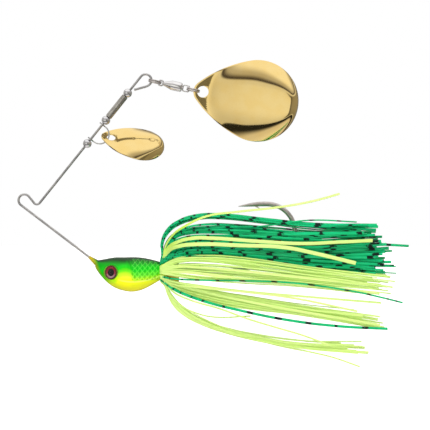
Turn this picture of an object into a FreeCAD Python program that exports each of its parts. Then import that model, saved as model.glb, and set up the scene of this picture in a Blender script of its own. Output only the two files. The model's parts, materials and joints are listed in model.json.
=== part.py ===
import FreeCAD, Part
import Sketcher
import math
import os
from FreeCAD import Placement, Rotation, Vector

# Spinnerbait in millimetres. +X runs from the line tie to the tail, +Z to the hook point's side,
# and the bent wire and the hook lie in the XZ plane. The origin is the centre of the line tie bend.

doc = FreeCAD.newDocument("spinnerbait")
sheet = doc.addObject("Spreadsheet::Sheet", "dims")

SIZES = [
    ("wire_dia", 0.8, "bent stainless wire"),
    ("low_angle", 37.3, "lower arm below the horizontal, degrees"),
    ("low_length", 34.2, "straight run of the lower arm"),
    ("up_angle", 51.3, "upper arm above the horizontal, degrees"),
    ("up_length", 55.1, "straight run of the upper arm"),
    ("tie_radius", 2.0, "line tie bend"),
    ("tie_run", 2.78, "short run between the line tie bend and the elbow"),
    ("elbow_radius", 1.2, "elbow below the upper arm"),
    ("loop_radius", 2.0, "end loop, round part"),
    ("loop_turn", 186.3, "degrees that the round part turns"),
    ("tail_radius", 3.0, "end loop, flatter part"),
    ("tail_turn", 29.5, "degrees that the flatter part turns"),
    ("tag_length", 4.1, "free end beside the upper arm"),
    ("anchor_drop", 2.1, "wire end below the hook eye, cast in"),
    ("anchor_radius", 1.0, "cast-in corner"),
    ("anchor_run", 2.36, "cast-in run above the hook eye"),
    ("entry_radius", 3.0, "bend where the wire enters the head"),
    ("hook_dia", 1.6, "hook wire"),
    ("hook_axis_drop", 23.97, "hook shank below the origin"),
    ("hook_eye_radius", 1.5, "hook eye, to the wire's centre"),
    ("shank_length", 39.15, "straight shank from the eye"),
    ("heel_angle", 20.0, "rise of the hook's heel, degrees"),
    ("heel_radius", 12.0, "bend from the shank to the heel"),
    ("heel_run", 10.4, "straight heel"),
    ("bend_radius", 9.5, "hook bend"),
    ("point_length", 9.8, "from the top of the bend to the point"),
    ("point_drop", 0.8, "the point below the top of the bend"),
    ("barb_length", 2.6, "barb along the point"),
    ("barb_height", 1.1, "barb below the point"),
    ("barb_root", 0.2, "rise of the barb's front corner inside the point"),
    ("nose_x", 24.1, "front of the head"),
    ("head_length", 22.4, "from the nose to the neck"),
    ("neck_radius", 2.0, "neck under the band"),
    ("neck_length", 2.0, "neck under the band"),
    ("neck_lap", 1.0, "how far the neck reaches into the head"),
    ("collar_radius", 5.1, "flared collar's rim"),
    ("collar_length", 4.0, "flared collar"),
    ("collar_lip", 0.8, "straight rim of the collar"),
    ("sleeve_length", 4.2, "lead and paint on the wire ahead of the nose"),
    ("sleeve_radius", 1.15, "the sleeve at the nose"),
    ("sleeve_end", 0.43, "the sleeve's thin end"),
    ("sleeve_lap", 0.6, "how far the sleeve reaches into the nose"),
    ("band_inner", 2.9, "skirt band"),
    ("band_outer", 3.7, "skirt band"),
    ("band_width", 1.7, "skirt band"),
    ("band_gap", 0.15, "skirt band behind the head's rear edge"),
    ("band_bevel", 0.3, "slopes of the band's edges"),
    ("eye_x", 29.6, "centre of the eyes"),
    ("eye_drop", 24.4, "centre of the eyes below the origin"),
    ("eye_radius", 2.45, "eye disc and lens"),
    ("eye_depth", 2.95, "back of the eye disc from the middle plane"),
    ("eye_foil", 0.3, "thickness of the printed disc"),
    ("eye_dome", 0.9, "height of the clear lens"),
    ("bead_dia", 3.0, "beads on the upper arm"),
    ("bead_bore", 0.96, "hole of a bead that turns"),
    ("stop_at", 25.9, "stop bead along the upper arm"),
    ("middle_at", 36.0, "middle bead along the upper arm"),
    ("upper_at", 47.85, "upper bead along the upper arm"),
    ("tube_dia", 2.2, "spacer tube"),
    ("strap_thick", 0.45, "clevis strap"),
    ("strap_width", 0.8, "clevis strap at the bow"),
    ("strap_half", 3.2, "half of the spacing of the clevis ears, and the bow's radius"),
    ("bow_reach", 1.35, "centre of the clevis bow from the wire"),
    ("ear_radius", 1.15, "clevis ears"),
    ("ear_hole", 1.0, "hole of the clevis ears"),
    ("ring_dia", 4.7, "split rings, outside"),
    ("ring_wall", 0.6, "split rings, across the coil"),
    ("ring_thick", 1.1, "split rings, both turns"),
    ("ring_groove", 0.12, "half width and depth of the groove between the turns"),
    ("chain_angle", 12.5, "split rings and swivel below the horizontal, degrees"),
    ("link_gap", 0.12, "gap between linked pieces"),
    ("hole_gap", 0.35, "gap between the rear ring and the tip side of the large blade's hole"),
    ("swivel_length", 11.0, "swivel over both eyes"),
    ("eye_wire", 0.48, "wire of the swivel's eyes"),
    ("eye_corner", 0.55, "rounding of the swivel's eyes"),
    ("front_eye_play", 0.02, "gap between the front eye and the barrel"),
    ("rear_eye_play", 0.04, "gap between the rear eye and the barrel"),
    ("front_eye_width", 2.3, "front eye, outside"),
    ("rear_eye_width", 2.5, "rear eye, outside"),
    ("barrel_front", 3.6, "barrel's front end before the swivel's middle"),
    ("barrel_rear", 2.8, "barrel's rear end after the swivel's middle"),
    ("barrel_cone", 2.6, "length of the barrel's cone"),
    ("barrel_radius", 1.6, "barrel"),
    ("barrel_tip", 0.75, "barrel's front end"),
    ("barrel_bevel", 0.5, "barrel's rear edge"),
    ("race_radius", 1.2, "room for the balls"),
    ("race_front", 0.6, "front of the room, before the swivel's middle"),
    ("race_rear", 2.04, "rear of the room, after the swivel's middle"),
    ("stem_radius", 0.34, "stems of the eyes"),
    ("stem_bore", 0.42, "barrel's rear hole"),
    ("stem_head", 0.85, "heads of the stems"),
    ("stem_head_thick", 0.3, "heads of the stems, along the swivel"),
    ("ball_dia", 0.78, "bearing balls"),
    ("ball_circle", 0.77, "bearing balls, radius of their circle"),
    ("ball_play", 0.015, "gap between the balls and what they run between"),
    ("big_length", 36.0, "large blade"),
    ("big_radius", 13.9, "large blade's round end"),
    ("big_tip", 4.0, "large blade's narrow end"),
    ("big_side", 42.0, "large blade's sides"),
    ("big_hole", 3.9, "large blade's hole"),
    ("big_hole_at", 3.2, "large blade's hole from the tip"),
    ("big_depth", 4.4, "large blade's cup"),
    ("big_angle", 9.45, "large blade below the horizontal, degrees"),
    ("small_length", 21.8, "small blade"),
    ("small_radius", 7.5, "small blade's round end"),
    ("small_tip", 2.0, "small blade's narrow end"),
    ("small_side", 19.0, "small blade's sides"),
    ("small_hole", 3.0, "small blade's hole"),
    ("small_hole_at", 3.4, "small blade's hole from the tip"),
    ("small_depth", 3.0, "small blade's cup"),
    ("small_angle", 13.5, "small blade below the horizontal, degrees"),
    ("small_roll", 44.0, "small blade turned about its length, degrees"),
    ("small_offset", 0.85, "small blade's hole centre beyond the bow"),
    ("blade_thick", 0.5, "sheet brass of the blades"),
    ("blade_rim", 1.0, "flat rim round the cup"),
    ("tube_bore", 1.5, "spacer tube, inside"),
    ("tube_seat", 0.14, "how far the tube's ends sit over the beads"),
]
for line, (alias, value, note) in enumerate(SIZES, start=1):
    sheet.set(f"A{line}", note)
    sheet.set(f"B{line}", str(value))
    sheet.setAlias(f"B{line}", alias)
doc.recompute()


def size(alias):
    return float(sheet.get(alias))


def toward(angle):
    """Unit vector in the XZ plane, angle in degrees above +X."""
    a = math.radians(angle)
    return Vector(math.cos(a), 0, math.sin(a))


def bind(thing, **links):
    """Bind properties of an object to formulas of the sheet's cells."""
    for prop, formula in links.items():
        thing.setExpression(prop, formula)


def new_body(label):
    body = doc.addObject("PartDesign::Body", label)
    body.Label = label
    return body


def new_sketch(body, name, role, offset=None):
    """A sketch on one of the body's own origin planes, moved by offset in the plane's frame."""
    sketch = body.newObject("Sketcher::SketchObject", name)
    plane = next(f for f in body.Origin.OriginFeatures if f.Role == role)
    sketch.AttachmentSupport = (plane, "")
    sketch.MapMode = "FlatFace"
    if offset:
        sketch.AttachmentOffset = Placement(Vector(*offset), Rotation())
    return sketch


def ring(sketch, centre, formula, radius):
    """A circle whose radius is bound to a formula."""
    circle = sketch.addGeometry(Part.Circle(Vector(*centre, 0), Vector(0, 0, 1), radius))
    con = sketch.addConstraint(Sketcher.Constraint("Radius", circle, radius))
    sketch.setExpression(f"Constraints[{con}]", formula)
    return circle


def polygon(sketch, points):
    """A closed outline of straight lines."""
    ends = points[1:] + points[:1]
    for a, b in zip(points, ends):
        sketch.addGeometry(Part.LineSegment(Vector(*a, 0), Vector(*b, 0)))
    for i in range(len(points)):
        sketch.addConstraint(Sketcher.Constraint("Coincident", i, 2, (i + 1) % len(points), 1))


def bend_run(start, heading, moves):
    """Follow a bent wire: ("go", length) or ("turn", radius, degrees to the left).

    Returns the geometry, the arcs' centres, and the last point."""
    at, edges, centres = Vector(*start), [], []
    for move in moves:
        h = math.radians(heading)
        if move[0] == "go":
            end = at + Vector(math.cos(h), math.sin(h), 0) * move[1]
            edges.append(Part.LineSegment(at, end))
        else:
            radius, turn = move[1], move[2]
            side = 1 if turn > 0 else -1
            left = Vector(-math.sin(h), math.cos(h), 0)
            centre = at + left * radius * side
            spin = Rotation(Vector(0, 0, 1), turn)
            end = centre + spin.multVec(at - centre)
            mid = centre + Rotation(Vector(0, 0, 1), turn / 2).multVec(at - centre)
            edges.append(Part.Arc(at, mid, end))
            centres.append(centre)
            heading += turn
        at = end
    return edges, centres, at


def run_sketch(body, name, edges, radii):
    """The path of a wire on the XZ plane, its arcs' radii bound to the sheet in turn."""
    sketch = new_sketch(body, name, "XZ_Plane")
    ids = [sketch.addGeometry(e) for e in edges]
    arcs = [i for i, e in zip(ids, edges) if not isinstance(e, Part.LineSegment)]
    for i, alias in zip(arcs, radii):
        con = sketch.addConstraint(Sketcher.Constraint("Radius", i, size(alias)))
        sketch.setExpression(f"Constraints[{con}]", f"dims.{alias}")
    return sketch


def pipe(body, name, profile, spine):
    swept = body.newObject("PartDesign::AdditivePipe", name)
    swept.Profile = profile
    swept.Spine = (spine, [f"Edge{i + 1}" for i in range(spine.GeometryCount)])
    swept.Mode = "Standard"
    return swept


def pad(body, name, profile, formula, middle=True):
    solid = body.newObject("PartDesign::Pad", name)
    solid.Profile = profile
    solid.SideType = "Symmetric" if middle else "One side"
    solid.setExpression("Length", formula)
    return solid


def through(body, name, profile):
    """A cut through everything, both ways from the sketch."""
    cut = body.newObject("PartDesign::Pocket", name)
    cut.Profile = profile
    cut.SideType = "Symmetric"
    cut.Type = "ThroughAll"
    return cut


def revolve(body, name, profile, axis="H_Axis"):
    turned = body.newObject("PartDesign::Revolution", name)
    turned.Profile = profile
    turned.ReferenceAxis = (profile, [axis])
    turned.Angle = 360
    return turned


def loft(body, name, sections, ruled=False):
    solid = body.newObject("PartDesign::AdditiveLoft", name)
    solid.Profile = sections[0]
    solid.Sections = sections[1:]
    solid.Ruled = ruled
    return solid


def oval(body, name, x, y, z, half_y, half_z):
    """An ellipse on a plane across X; the longer half axis is given first."""
    sketch = new_sketch(body, name, "YZ_Plane", (0, 0, x))
    tall = Vector(y, z + half_z, 0)
    wide = Vector(y + half_y, z, 0)
    first, second = (tall, wide) if half_z >= half_y else (wide, tall)
    sketch.addGeometry(Part.Ellipse(first, second, Vector(y, z, 0)))
    return sketch


# Driving places that several pieces share.
low, up, chain = size("low_angle"), size("up_angle"), size("chain_angle")
tie_turn = 180 - low + up
shank_z = -size("hook_axis_drop")


# ---- wire arm ----
def wire_moves():
    return [
        ("go", size("anchor_drop")),
        ("turn", size("anchor_radius"), 90),
        ("go", size("anchor_run")),
        ("turn", size("entry_radius"), -low),
        ("go", size("low_length")),
        ("turn", size("tie_radius"), -tie_turn),
        ("go", size("tie_run")),
        ("turn", size("elbow_radius"), 2 * up),
        ("go", size("up_length")),
        ("turn", size("loop_radius"), -size("loop_turn")),
        ("turn", size("tail_radius"), -size("tail_turn")),
        ("go", size("tag_length")),
    ]


tie_centre = bend_run((0, 0, 0), 90, wire_moves())[1][2]
wire_start = tie_centre * -1
wire_edges, wire_centres, _ = bend_run(wire_start, 90, wire_moves())
elbow_end = wire_edges[8].StartPoint
loop_centre = Vector(wire_centres[4].x, 0, wire_centres[4].y)
arm_foot = Vector(elbow_end.x, 0, elbow_end.y)


def on_arm(along, out=0.0):
    """A point on the upper arm, out from it towards the blades."""
    return arm_foot + toward(up) * along + toward(up - 90) * out


wire_arm = new_body("wire_arm")
wire_path = run_sketch(
    wire_arm, "wire_path", wire_edges,
    ["anchor_radius", "entry_radius", "tie_radius", "elbow_radius", "loop_radius", "tail_radius"],
)
wire_round = new_sketch(wire_arm, "wire_round", "XY_Plane", (wire_start.x, 0, wire_start.y))
ring(wire_round, (0, 0), "dims.wire_dia / 2", size("wire_dia") / 2)
pipe(wire_arm, "wire_bend", wire_round, wire_path)


# ---- hook ----
hook_eye_x = wire_start.x
hook = new_body("hook")
hook_start = (hook_eye_x + size("hook_eye_radius"), shank_z, 0)
hook_edges, _, bend_top = bend_run(hook_start, 0, [
    ("go", size("shank_length")),
    ("turn", size("heel_radius"), size("heel_angle")),
    ("go", size("heel_run")),
    ("turn", size("bend_radius"), 180 - size("heel_angle")),
])
hook_path = run_sketch(hook, "hook_path", hook_edges, ["heel_radius", "bend_radius"])
hook_round = new_sketch(hook, "hook_round", "YZ_Plane", (0, shank_z, hook_start[0]))
ring(hook_round, (0, 0), "dims.hook_dia / 2", size("hook_dia") / 2)
pipe(hook, "hook_bend", hook_round, hook_path)

# Share of the point's length, then shares of the hook wire's thickness and of the point's drop.
POINT_ROUNDS = [(0, 1, 0), (0.45, 0.88, 0.2), (0.8, 0.45, 0.68), (1, 0.08, 1)]
point_rounds = []
for k, (share, thick, drop) in enumerate(POINT_ROUNDS):
    x = bend_top.x - share * size("point_length")
    z = bend_top.y - drop * size("point_drop")
    section = new_sketch(hook, f"point_round_{k}", "YZ_Plane", (0, z, x))
    ring(section, (0, 0), f"dims.hook_dia / 2 * {thick}", size("hook_dia") / 2 * thick)
    point_rounds.append(section)
loft(hook, "hook_point", point_rounds)

barb_x = bend_top.x - 0.46 * size("point_length")
barb_z = bend_top.y - size("hook_dia") * 0.46
barb_outline = new_sketch(hook, "barb_outline", "XZ_Plane")
polygon(barb_outline, [
    (barb_x, barb_z),
    (barb_x + size("barb_length") * 0.35, barb_z + size("barb_root")),
    (barb_x + size("barb_length"), barb_z - size("barb_height")),
])
pad(hook, "barb", barb_outline, "dims.hook_dia * 0.35")

hook_eye = hook.newObject("PartDesign::AdditiveTorus", "hook_eye")
hook_eye.Placement = Placement(Vector(hook_eye_x, 0, shank_z), Rotation())
bind(hook_eye, Radius1="dims.hook_eye_radius", Radius2="dims.hook_dia / 2 * 0.85")


# ---- head ----
# Share of the head's length, then the middle's drop below the shank, the half height and the
# half width of the fish-head section there.
HEAD_RINGS = [
    (0.0, 2.05, 0.9, 0.8),
    (0.03, 1.7, 1.75, 1.5),
    (0.11, 0.75, 3.1, 2.6),
    (0.24, -0.3, 4.7, 3.75),
    (0.42, -1.05, 5.65, 4.7),
    (0.60, -1.2, 5.85, 4.95),
    (0.76, -0.85, 5.15, 4.5),
    (0.90, -0.35, 3.95, 3.6),
    (1.0, 0.0, 2.95, 2.75),
]
head_cast = new_body("head_cast")
head_rings = []
for k, (share, rise, tall, wide) in enumerate(HEAD_RINGS):
    x = size("nose_x") + share * size("head_length")
    head_rings.append(oval(head_cast, f"head_ring_{k}", x, 0, shank_z + rise, wide, tall))
loft(head_cast, "head_form", head_rings)

neck_x = size("nose_x") + size("head_length")
collar_x = neck_x + size("neck_length")
collar_end = collar_x + size("collar_length")
collar_half = new_sketch(head_cast, "collar_half", "XZ_Plane", (0, shank_z, 0))
polygon(collar_half, [
    (neck_x - size("neck_lap"), 0),
    (neck_x - size("neck_lap"), size("neck_radius")),
    (collar_x, size("neck_radius")),
    (collar_end - size("collar_lip"), size("collar_radius")),
    (collar_end, size("collar_radius")),
    (collar_end, 0),
])
revolve(head_cast, "collar", collar_half)

sleeve = head_cast.newObject("PartDesign::AdditiveCone", "sleeve")
arm_entry = toward(-low)
nose = Vector(size("nose_x"), 0, shank_z + HEAD_RINGS[0][1])
arm_side = toward(-90 - low) * size("tie_radius")
along = (nose - arm_side).dot(arm_entry) + size("sleeve_lap")
sleeve_foot = arm_side + arm_entry * along
sleeve.Placement = Placement(sleeve_foot, Rotation(Vector(0, 0, 1), arm_entry * -1))
bind(sleeve, Radius1="dims.sleeve_radius", Radius2="dims.sleeve_end", Height="dims.sleeve_length")


def cylinder(name, radius, height, place=None):
    """A cylinder along its own Z, its sizes bound to formulas."""
    solid = doc.addObject("Part::Cylinder", name)
    bind(solid, Radius=radius, Height=height)
    if place:
        solid.Placement = place
    return solid


def cut(label, base, tool, place=None):
    """base less tool; both stay in the label's own frame."""
    result = doc.addObject("Part::Cut", label)
    result.Label = label
    result.Base = base
    result.Tool = tool
    if place:
        result.Placement = place
    return result


def join(name, pieces):
    """One object of several solids."""
    group = doc.addObject("Part::MultiFuse", name)
    group.Label = name
    group.Shapes = pieces
    return group


SIDES = {"left": 1, "right": -1}
eye_centre = Vector(size("eye_x"), 0, -size("eye_drop"))


def facing(side):
    """A frame at the eye's middle with its Z pointing out of the head on that side."""
    return Placement(eye_centre, Rotation(Vector(0, 0, 1), Vector(0, SIDES[side], 0)))


seats = []
for side in SIDES:
    seat = cylinder(f"eye_seat_{side}", "dims.eye_radius", "dims.eye_depth * 2")
    seat.Placement = facing(side) * Placement(Vector(0, 0, size("eye_depth")), Rotation())
    seats.append(seat)
cast_in = join("cast_in", [wire_arm, hook])
seat_pair = join("seat_pair", seats)
cored = cut("head_cored", head_cast, cast_in)
head = cut("head", cored, seat_pair)


# ---- eyes ----
eye_pieces = []
for side in SIDES:
    disc = cylinder(f"eye_disc_{side}", "dims.eye_radius", "dims.eye_foil")
    disc.Label = f"eye_disc_{side}"
    disc.Placement = facing(side) * Placement(Vector(0, 0, size("eye_depth")), Rotation())
    lens = new_body(f"eye_lens_{side}")
    lens_half = new_sketch(lens, f"lens_half_{side}", "XZ_Plane")
    rim, high = size("eye_radius"), size("eye_dome")
    arc_radius = (rim * rim + high * high) / (2 * high)
    half_way = math.asin(rim / arc_radius) / 2
    mid = (arc_radius * math.sin(half_way), high - arc_radius * (1 - math.cos(half_way)))
    lens_half.addGeometry(Part.LineSegment(Vector(0, 0, 0), Vector(rim, 0, 0)))
    lens_half.addGeometry(Part.Arc(Vector(rim, 0, 0), Vector(*mid, 0), Vector(0, high, 0)))
    lens_half.addGeometry(Part.LineSegment(Vector(0, high, 0), Vector(0, 0, 0)))
    revolve(lens, f"lens_form_{side}", lens_half, "V_Axis")
    lens_back = size("eye_depth") + size("eye_foil")
    lens.Placement = facing(side) * Placement(Vector(0, 0, lens_back), Rotation())
    eye_pieces += [disc, lens]


# ---- skirt band and skirt ----
band = new_body("skirt_band")
band_half = new_sketch(band, "band_half", "XZ_Plane")
band_front = neck_x + size("band_gap")
band_rear = band_front + size("band_width")
polygon(band_half, [
    (band_front, size("band_inner")),
    (band_front + size("band_bevel"), size("band_outer")),
    (band_rear - size("band_bevel"), size("band_outer")),
    (band_rear, size("band_inner")),
])
revolve(band, "band_form", band_half)
band.Placement = Placement(Vector(0, 0, shank_z), Rotation())

# Each bundle of strands: distance behind the neck, then the middle's place and the half sizes
# (x, y, z, half y, half z). Bundles beside the hook plane have a mirrored twin.
SKIRT = {
    "skirt_upper": [
        (2.6, 2.9, 9.3, 1.7, 2.9),
        (12, 6.4, 13.0, 3.4, 5.2),
        (32, 7.6, 12.6, 4.6, 4.8),
        (58, 7.2, 11.0, 4.2, 5.6),
        (85, 5.2, 8.2, 1.8, 2.2),
    ],
    "skirt_middle": [
        (2.6, 7.7, 0.4, 1.7, 2.6),
        (12, 8.4, 0.0, 4.0, 4.2),
        (32, 7.8, -2.0, 5.0, 4.2),
        (56, 7.4, -4.2, 4.4, 5.0),
        (78, 5.0, -6.0, 1.8, 2.4),
    ],
}
LOWER_SKIRT = [
    (2.6, 0, -7.8, 1.9, 2.0),
    (10, 0, -10.6, 4.2, 4.4),
    (28, 0, -15.6, 6.8, 7.2),
    (54, 0, -19.6, 8.4, 9.8),
    (78, 0, -24.0, 3.0, 5.4),
]


def strand_bundle(label, stations, flip=1):
    body = new_body(label)
    rings = []
    for k, (back, y, z, half_y, half_z) in enumerate(stations):
        x = neck_x + back
        rings.append(oval(body, f"{label}_ring_{k}", x, y * flip, shank_z + z, half_y, half_z))
    loft(body, f"{label}_form", rings)
    return body


skirt = [strand_bundle("skirt_lower", LOWER_SKIRT)]
for name, stations in SKIRT.items():
    skirt += [strand_bundle(f"{name}_{side}", stations, SIDES[side]) for side in SIDES]


# ---- pieces on the upper arm ----
def arm_frame(along):
    """A frame on the arm's axis with Z up the arm and X out towards the blades."""
    turn = Rotation(toward(up - 90), Vector(0, 1, 0) * -1, toward(up), "ZXY")
    return Placement(on_arm(along), turn)


def bead(label, along, bore):
    ball = doc.addObject("Part::Sphere", f"{label}_ball")
    bind(ball, Radius="dims.bead_dia / 2")
    low_end = Placement(Vector(0, 0, -size("bead_dia")), Rotation())
    hole = cylinder(f"{label}_bore", f"{bore} / 2", "dims.bead_dia * 2", low_end)
    return cut(label, ball, hole, arm_frame(along))


stop_bead = bead("stop_bead", size("stop_at"), "dims.wire_dia")
bead_middle = bead("bead_middle", size("middle_at"), "dims.bead_bore")
bead_upper = bead("bead_upper", size("upper_at"), "dims.bead_bore")

tube_long = "dims.upper_at - dims.middle_at - dims.bead_dia + 2 * dims.tube_seat"
tube_skin = cylinder("tube_skin", "dims.tube_dia / 2", tube_long)
tube_hole = cylinder("tube_hole", "dims.tube_bore / 2", tube_long)
tube_foot = size("middle_at") + size("bead_dia") / 2 - size("tube_seat")
spacer_tube = cut("spacer_tube", tube_skin, tube_hole, arm_frame(tube_foot))


# ---- clevis ----
clevis = new_body("clevis")
bow, reach, thick = size("strap_half"), size("bow_reach"), size("strap_thick")
strap_outline = new_sketch(clevis, "strap_outline", "XZ_Plane")
strap_end = -size("ear_radius") * 0.4
outer, inner = bow + thick / 2, bow - thick / 2
for radius in (outer, inner):
    high_end, high = Vector(strap_end, radius, 0), Vector(reach, radius, 0)
    low_end, low_bow = Vector(strap_end, -radius, 0), Vector(reach, -radius, 0)
    strap_outline.addGeometry(Part.LineSegment(high_end, high))
    strap_outline.addGeometry(Part.Arc(high, Vector(reach + radius, 0, 0), low_bow))
    strap_outline.addGeometry(Part.LineSegment(low_bow, low_end))
for flip in (1, -1):
    ends = Vector(strap_end, flip * inner, 0), Vector(strap_end, flip * outer, 0)
    strap_outline.addGeometry(Part.LineSegment(*ends))
pad(clevis, "strap", strap_outline, "dims.strap_width")
ear_round = new_sketch(clevis, "ear_round", "XY_Plane", (0, 0, -outer))
ring(ear_round, (0, 0), "dims.ear_radius", size("ear_radius"))
pad(clevis, "ear_low", ear_round, "dims.strap_thick", middle=False)
ear_top = new_sketch(clevis, "ear_top", "XY_Plane", (0, 0, inner))
ring(ear_top, (0, 0), "dims.ear_radius", size("ear_radius"))
pad(clevis, "ear_high", ear_top, "dims.strap_thick", middle=False)
ear_bore = new_sketch(clevis, "ear_bore", "XY_Plane")
ring(ear_bore, (0, 0), "dims.ear_hole / 2", size("ear_hole") / 2)
doc.recompute()
through(clevis, "ear_holes", ear_bore)
clevis_at = (size("stop_at") + size("middle_at")) / 2
clevis.Placement = arm_frame(clevis_at)


# ---- blades ----
def blade(label, alias):
    """A cupped blade in its own frame: tip at the origin, length along X, cup towards +Z."""
    body = new_body(label)
    length, round_end, tip, side = (
        size(f"{alias}_{what}") for what in ("length", "radius", "tip", "side"))
    middle = length - round_end
    # Centre of the side arc, which touches the tip's and the end's circles from outside.
    to_end, to_tip = side - round_end, side - tip
    cx = (to_tip ** 2 - to_end ** 2 + middle ** 2 - tip ** 2) / (2 * (middle - tip))
    cy = -math.sqrt(max(to_end ** 2 - (cx - middle) ** 2, 0))
    centre = Vector(cx, cy, 0)
    small_c, large_c = Vector(tip, 0, 0), Vector(middle, 0, 0)
    near = small_c + (small_c - centre).normalize() * tip
    far = large_c + (large_c - centre).normalize() * round_end
    crest = centre + ((near + far) / 2 - centre).normalize() * side
    under = [Vector(v.x, -v.y, 0) for v in (near, crest, far)]
    outline = new_sketch(body, f"{label}_outline", "XY_Plane")
    outline.addGeometry(Part.Arc(under[0], Vector(0, 0, 0), near))
    outline.addGeometry(Part.Arc(near, crest, far))
    outline.addGeometry(Part.Arc(far, Vector(length, 0, 0), under[2]))
    outline.addGeometry(Part.Arc(under[2], under[1], under[0]))
    pad(body, f"{label}_sheet", outline, "dims.blade_thick")
    doc.recompute()

    rim, thick = size("blade_rim"), size("blade_thick")
    cup_front = size(f"{alias}_hole_at") + size(f"{alias}_hole") / 2 + rim
    half_long = (length - rim - cup_front) / 2
    cup_centre = Vector(length - rim - half_long, 0, 0)
    long_formula = (f"(dims.{alias}_length - 2 * dims.blade_rim - dims.{alias}_hole_at"
                    f" - dims.{alias}_hole / 2) / 2")

    def dome(kind, name, skin):
        cup = body.newObject(f"PartDesign::{kind}Ellipsoid", name)
        cup.Placement = Placement(cup_centre, Rotation())
        bind(cup, Radius1=f"dims.{alias}_depth {skin}", Radius2=f"{long_formula} {skin}",
             Radius3=f"dims.{alias}_radius - dims.blade_rim {skin}")

    dome("Additive", f"{label}_dome", "+ dims.blade_thick / 2")
    doc.recompute()
    back = new_sketch(body, f"{label}_back", "XY_Plane", (0, 0, -thick / 2))
    span = 2 * length
    polygon(back, [(-span, -span), (span, -span), (span, span), (-span, span)])
    trim = body.newObject("PartDesign::Pocket", f"{label}_trim")
    trim.Profile = back
    trim.Type = "ThroughAll"
    doc.recompute()
    dome("Subtractive", f"{label}_cup", "- dims.blade_thick / 2")
    doc.recompute()
    hole = new_sketch(body, f"{label}_hole", "XY_Plane")
    formula = f"dims.{alias}_hole / 2"
    ring(hole, (size(f"{alias}_hole_at"), 0), formula, size(f"{alias}_hole") / 2)
    through(body, f"{label}_bore", hole)
    return body


def blade_frame(hole_centre, angle, roll, hole_at):
    """Length along the angle, cup towards -Y, then rolled about the length."""
    length_way = toward(-angle)
    cup_way = Rotation(length_way, roll).multVec(Vector(0, -1, 0))
    turn = Rotation(length_way, Vector(), cup_way, "XZY")
    return Placement(hole_centre - length_way * hole_at, turn)


blade_small = blade("blade_small", "small")
bow_centre = on_arm(clevis_at, reach)
small_hole = bow_centre + toward(-size("small_angle")) * (bow + size("small_offset"))
blade_small.Placement = blade_frame(
    small_hole, size("small_angle"), -size("small_roll"), size("small_hole_at"))


# ---- split rings and swivel ----
chain_way = toward(-chain)
ring_mid = (size("ring_dia") - size("ring_wall")) / 2
ring_inner = size("ring_dia") / 2 - size("ring_wall")
gap = size("link_gap")
loop_side = loop_centre + toward(-chain * 0.5) * size("loop_radius")
front_ring_at = loop_side + chain_way * (ring_inner - size("wire_dia") / 2 - gap)
eye_reach = ring_inner - size("eye_wire") / 2 - gap
end_wire = size("swivel_length") / 2 - size("eye_wire") / 2
swivel_at = front_ring_at + chain_way * (eye_reach + end_wire)
rear_ring_at = swivel_at + chain_way * (end_wire + eye_reach)


def chain_frame(at):
    """X along the chain, Y across the plane of the bent wire."""
    return Placement(at, Rotation(Vector(0, 1, 0), chain))


def split_ring(label, at):
    """Two flat turns of wire, with the groove between them."""
    body = new_body(label)
    half = new_sketch(body, f"{label}_half", "XZ_Plane")
    inside, outside, tall = ring_inner, size("ring_dia") / 2, size("ring_thick") / 2
    groove = size("ring_groove")
    polygon(half, [
        (inside, -tall),
        (outside, -tall),
        (outside, -groove),
        (outside - groove, 0),
        (outside, groove),
        (outside, tall),
        (inside, tall),
    ])
    revolve(body, f"{label}_form", half, "V_Axis")
    body.Placement = chain_frame(at)
    return body


ring_front = split_ring("split_ring_front", front_ring_at)
ring_rear = split_ring("split_ring_rear", rear_ring_at)


def eye_outline(path, root, far, half):
    """A closed wire loop with rounded corners from root to far, starting at the root's middle."""
    corner = size("eye_corner")
    sign = 1 if far > root else -1
    cut_in = corner * (1 - math.sqrt(0.5))
    near, end = root + sign * corner, far - sign * corner
    low_y = corner - half
    stops = [
        ("line", (root, 0), (root, half - corner)),
        ("arc", (root, half - corner), (root + sign * cut_in, half - cut_in), (near, half)),
        ("line", (near, half), (end, half)),
        ("arc", (end, half), (far - sign * cut_in, half - cut_in), (far, half - corner)),
        ("line", (far, half - corner), (far, low_y)),
        ("arc", (far, low_y), (far - sign * cut_in, cut_in - half), (end, -half)),
        ("line", (end, -half), (near, -half)),
        ("arc", (near, -half), (root + sign * cut_in, cut_in - half), (root, low_y)),
        ("line", (root, low_y), (root, 0)),
    ]
    for kind, *points in stops:
        flat = [Vector(x, y, 0) for x, y in points]
        path.addGeometry(Part.Arc(*flat) if kind == "arc" else Part.LineSegment(*flat))


def swivel_eye(label, far, root, width, head_at, stem_formula):
    """A flat wire eye in the XZ plane with a headed stem along X."""
    body = new_body(label)
    path = new_sketch(body, f"{label}_path", "XZ_Plane")
    eye_outline(path, root, far, (size(width) - size("eye_wire")) / 2)
    section = new_sketch(body, f"{label}_wire", "XY_Plane")
    ring(section, (root, 0), "dims.eye_wire / 2", size("eye_wire") / 2)
    pipe(body, f"{label}_loop", section, path)
    doc.recompute()
    stem_round = new_sketch(body, f"{label}_stem_round", "YZ_Plane", (0, 0, min(root, head_at)))
    ring(stem_round, (0, 0), "dims.stem_radius", size("stem_radius"))
    pad(body, f"{label}_stem", stem_round, stem_formula, middle=False)
    doc.recompute()
    head_round = new_sketch(body, f"{label}_head_round", "YZ_Plane", (0, 0, head_at))
    ring(head_round, (0, 0), "dims.stem_head", size("stem_head"))
    pad(body, f"{label}_head", head_round, "dims.stem_head_thick", middle=False)
    body.Placement = chain_frame(swivel_at)
    return body


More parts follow.
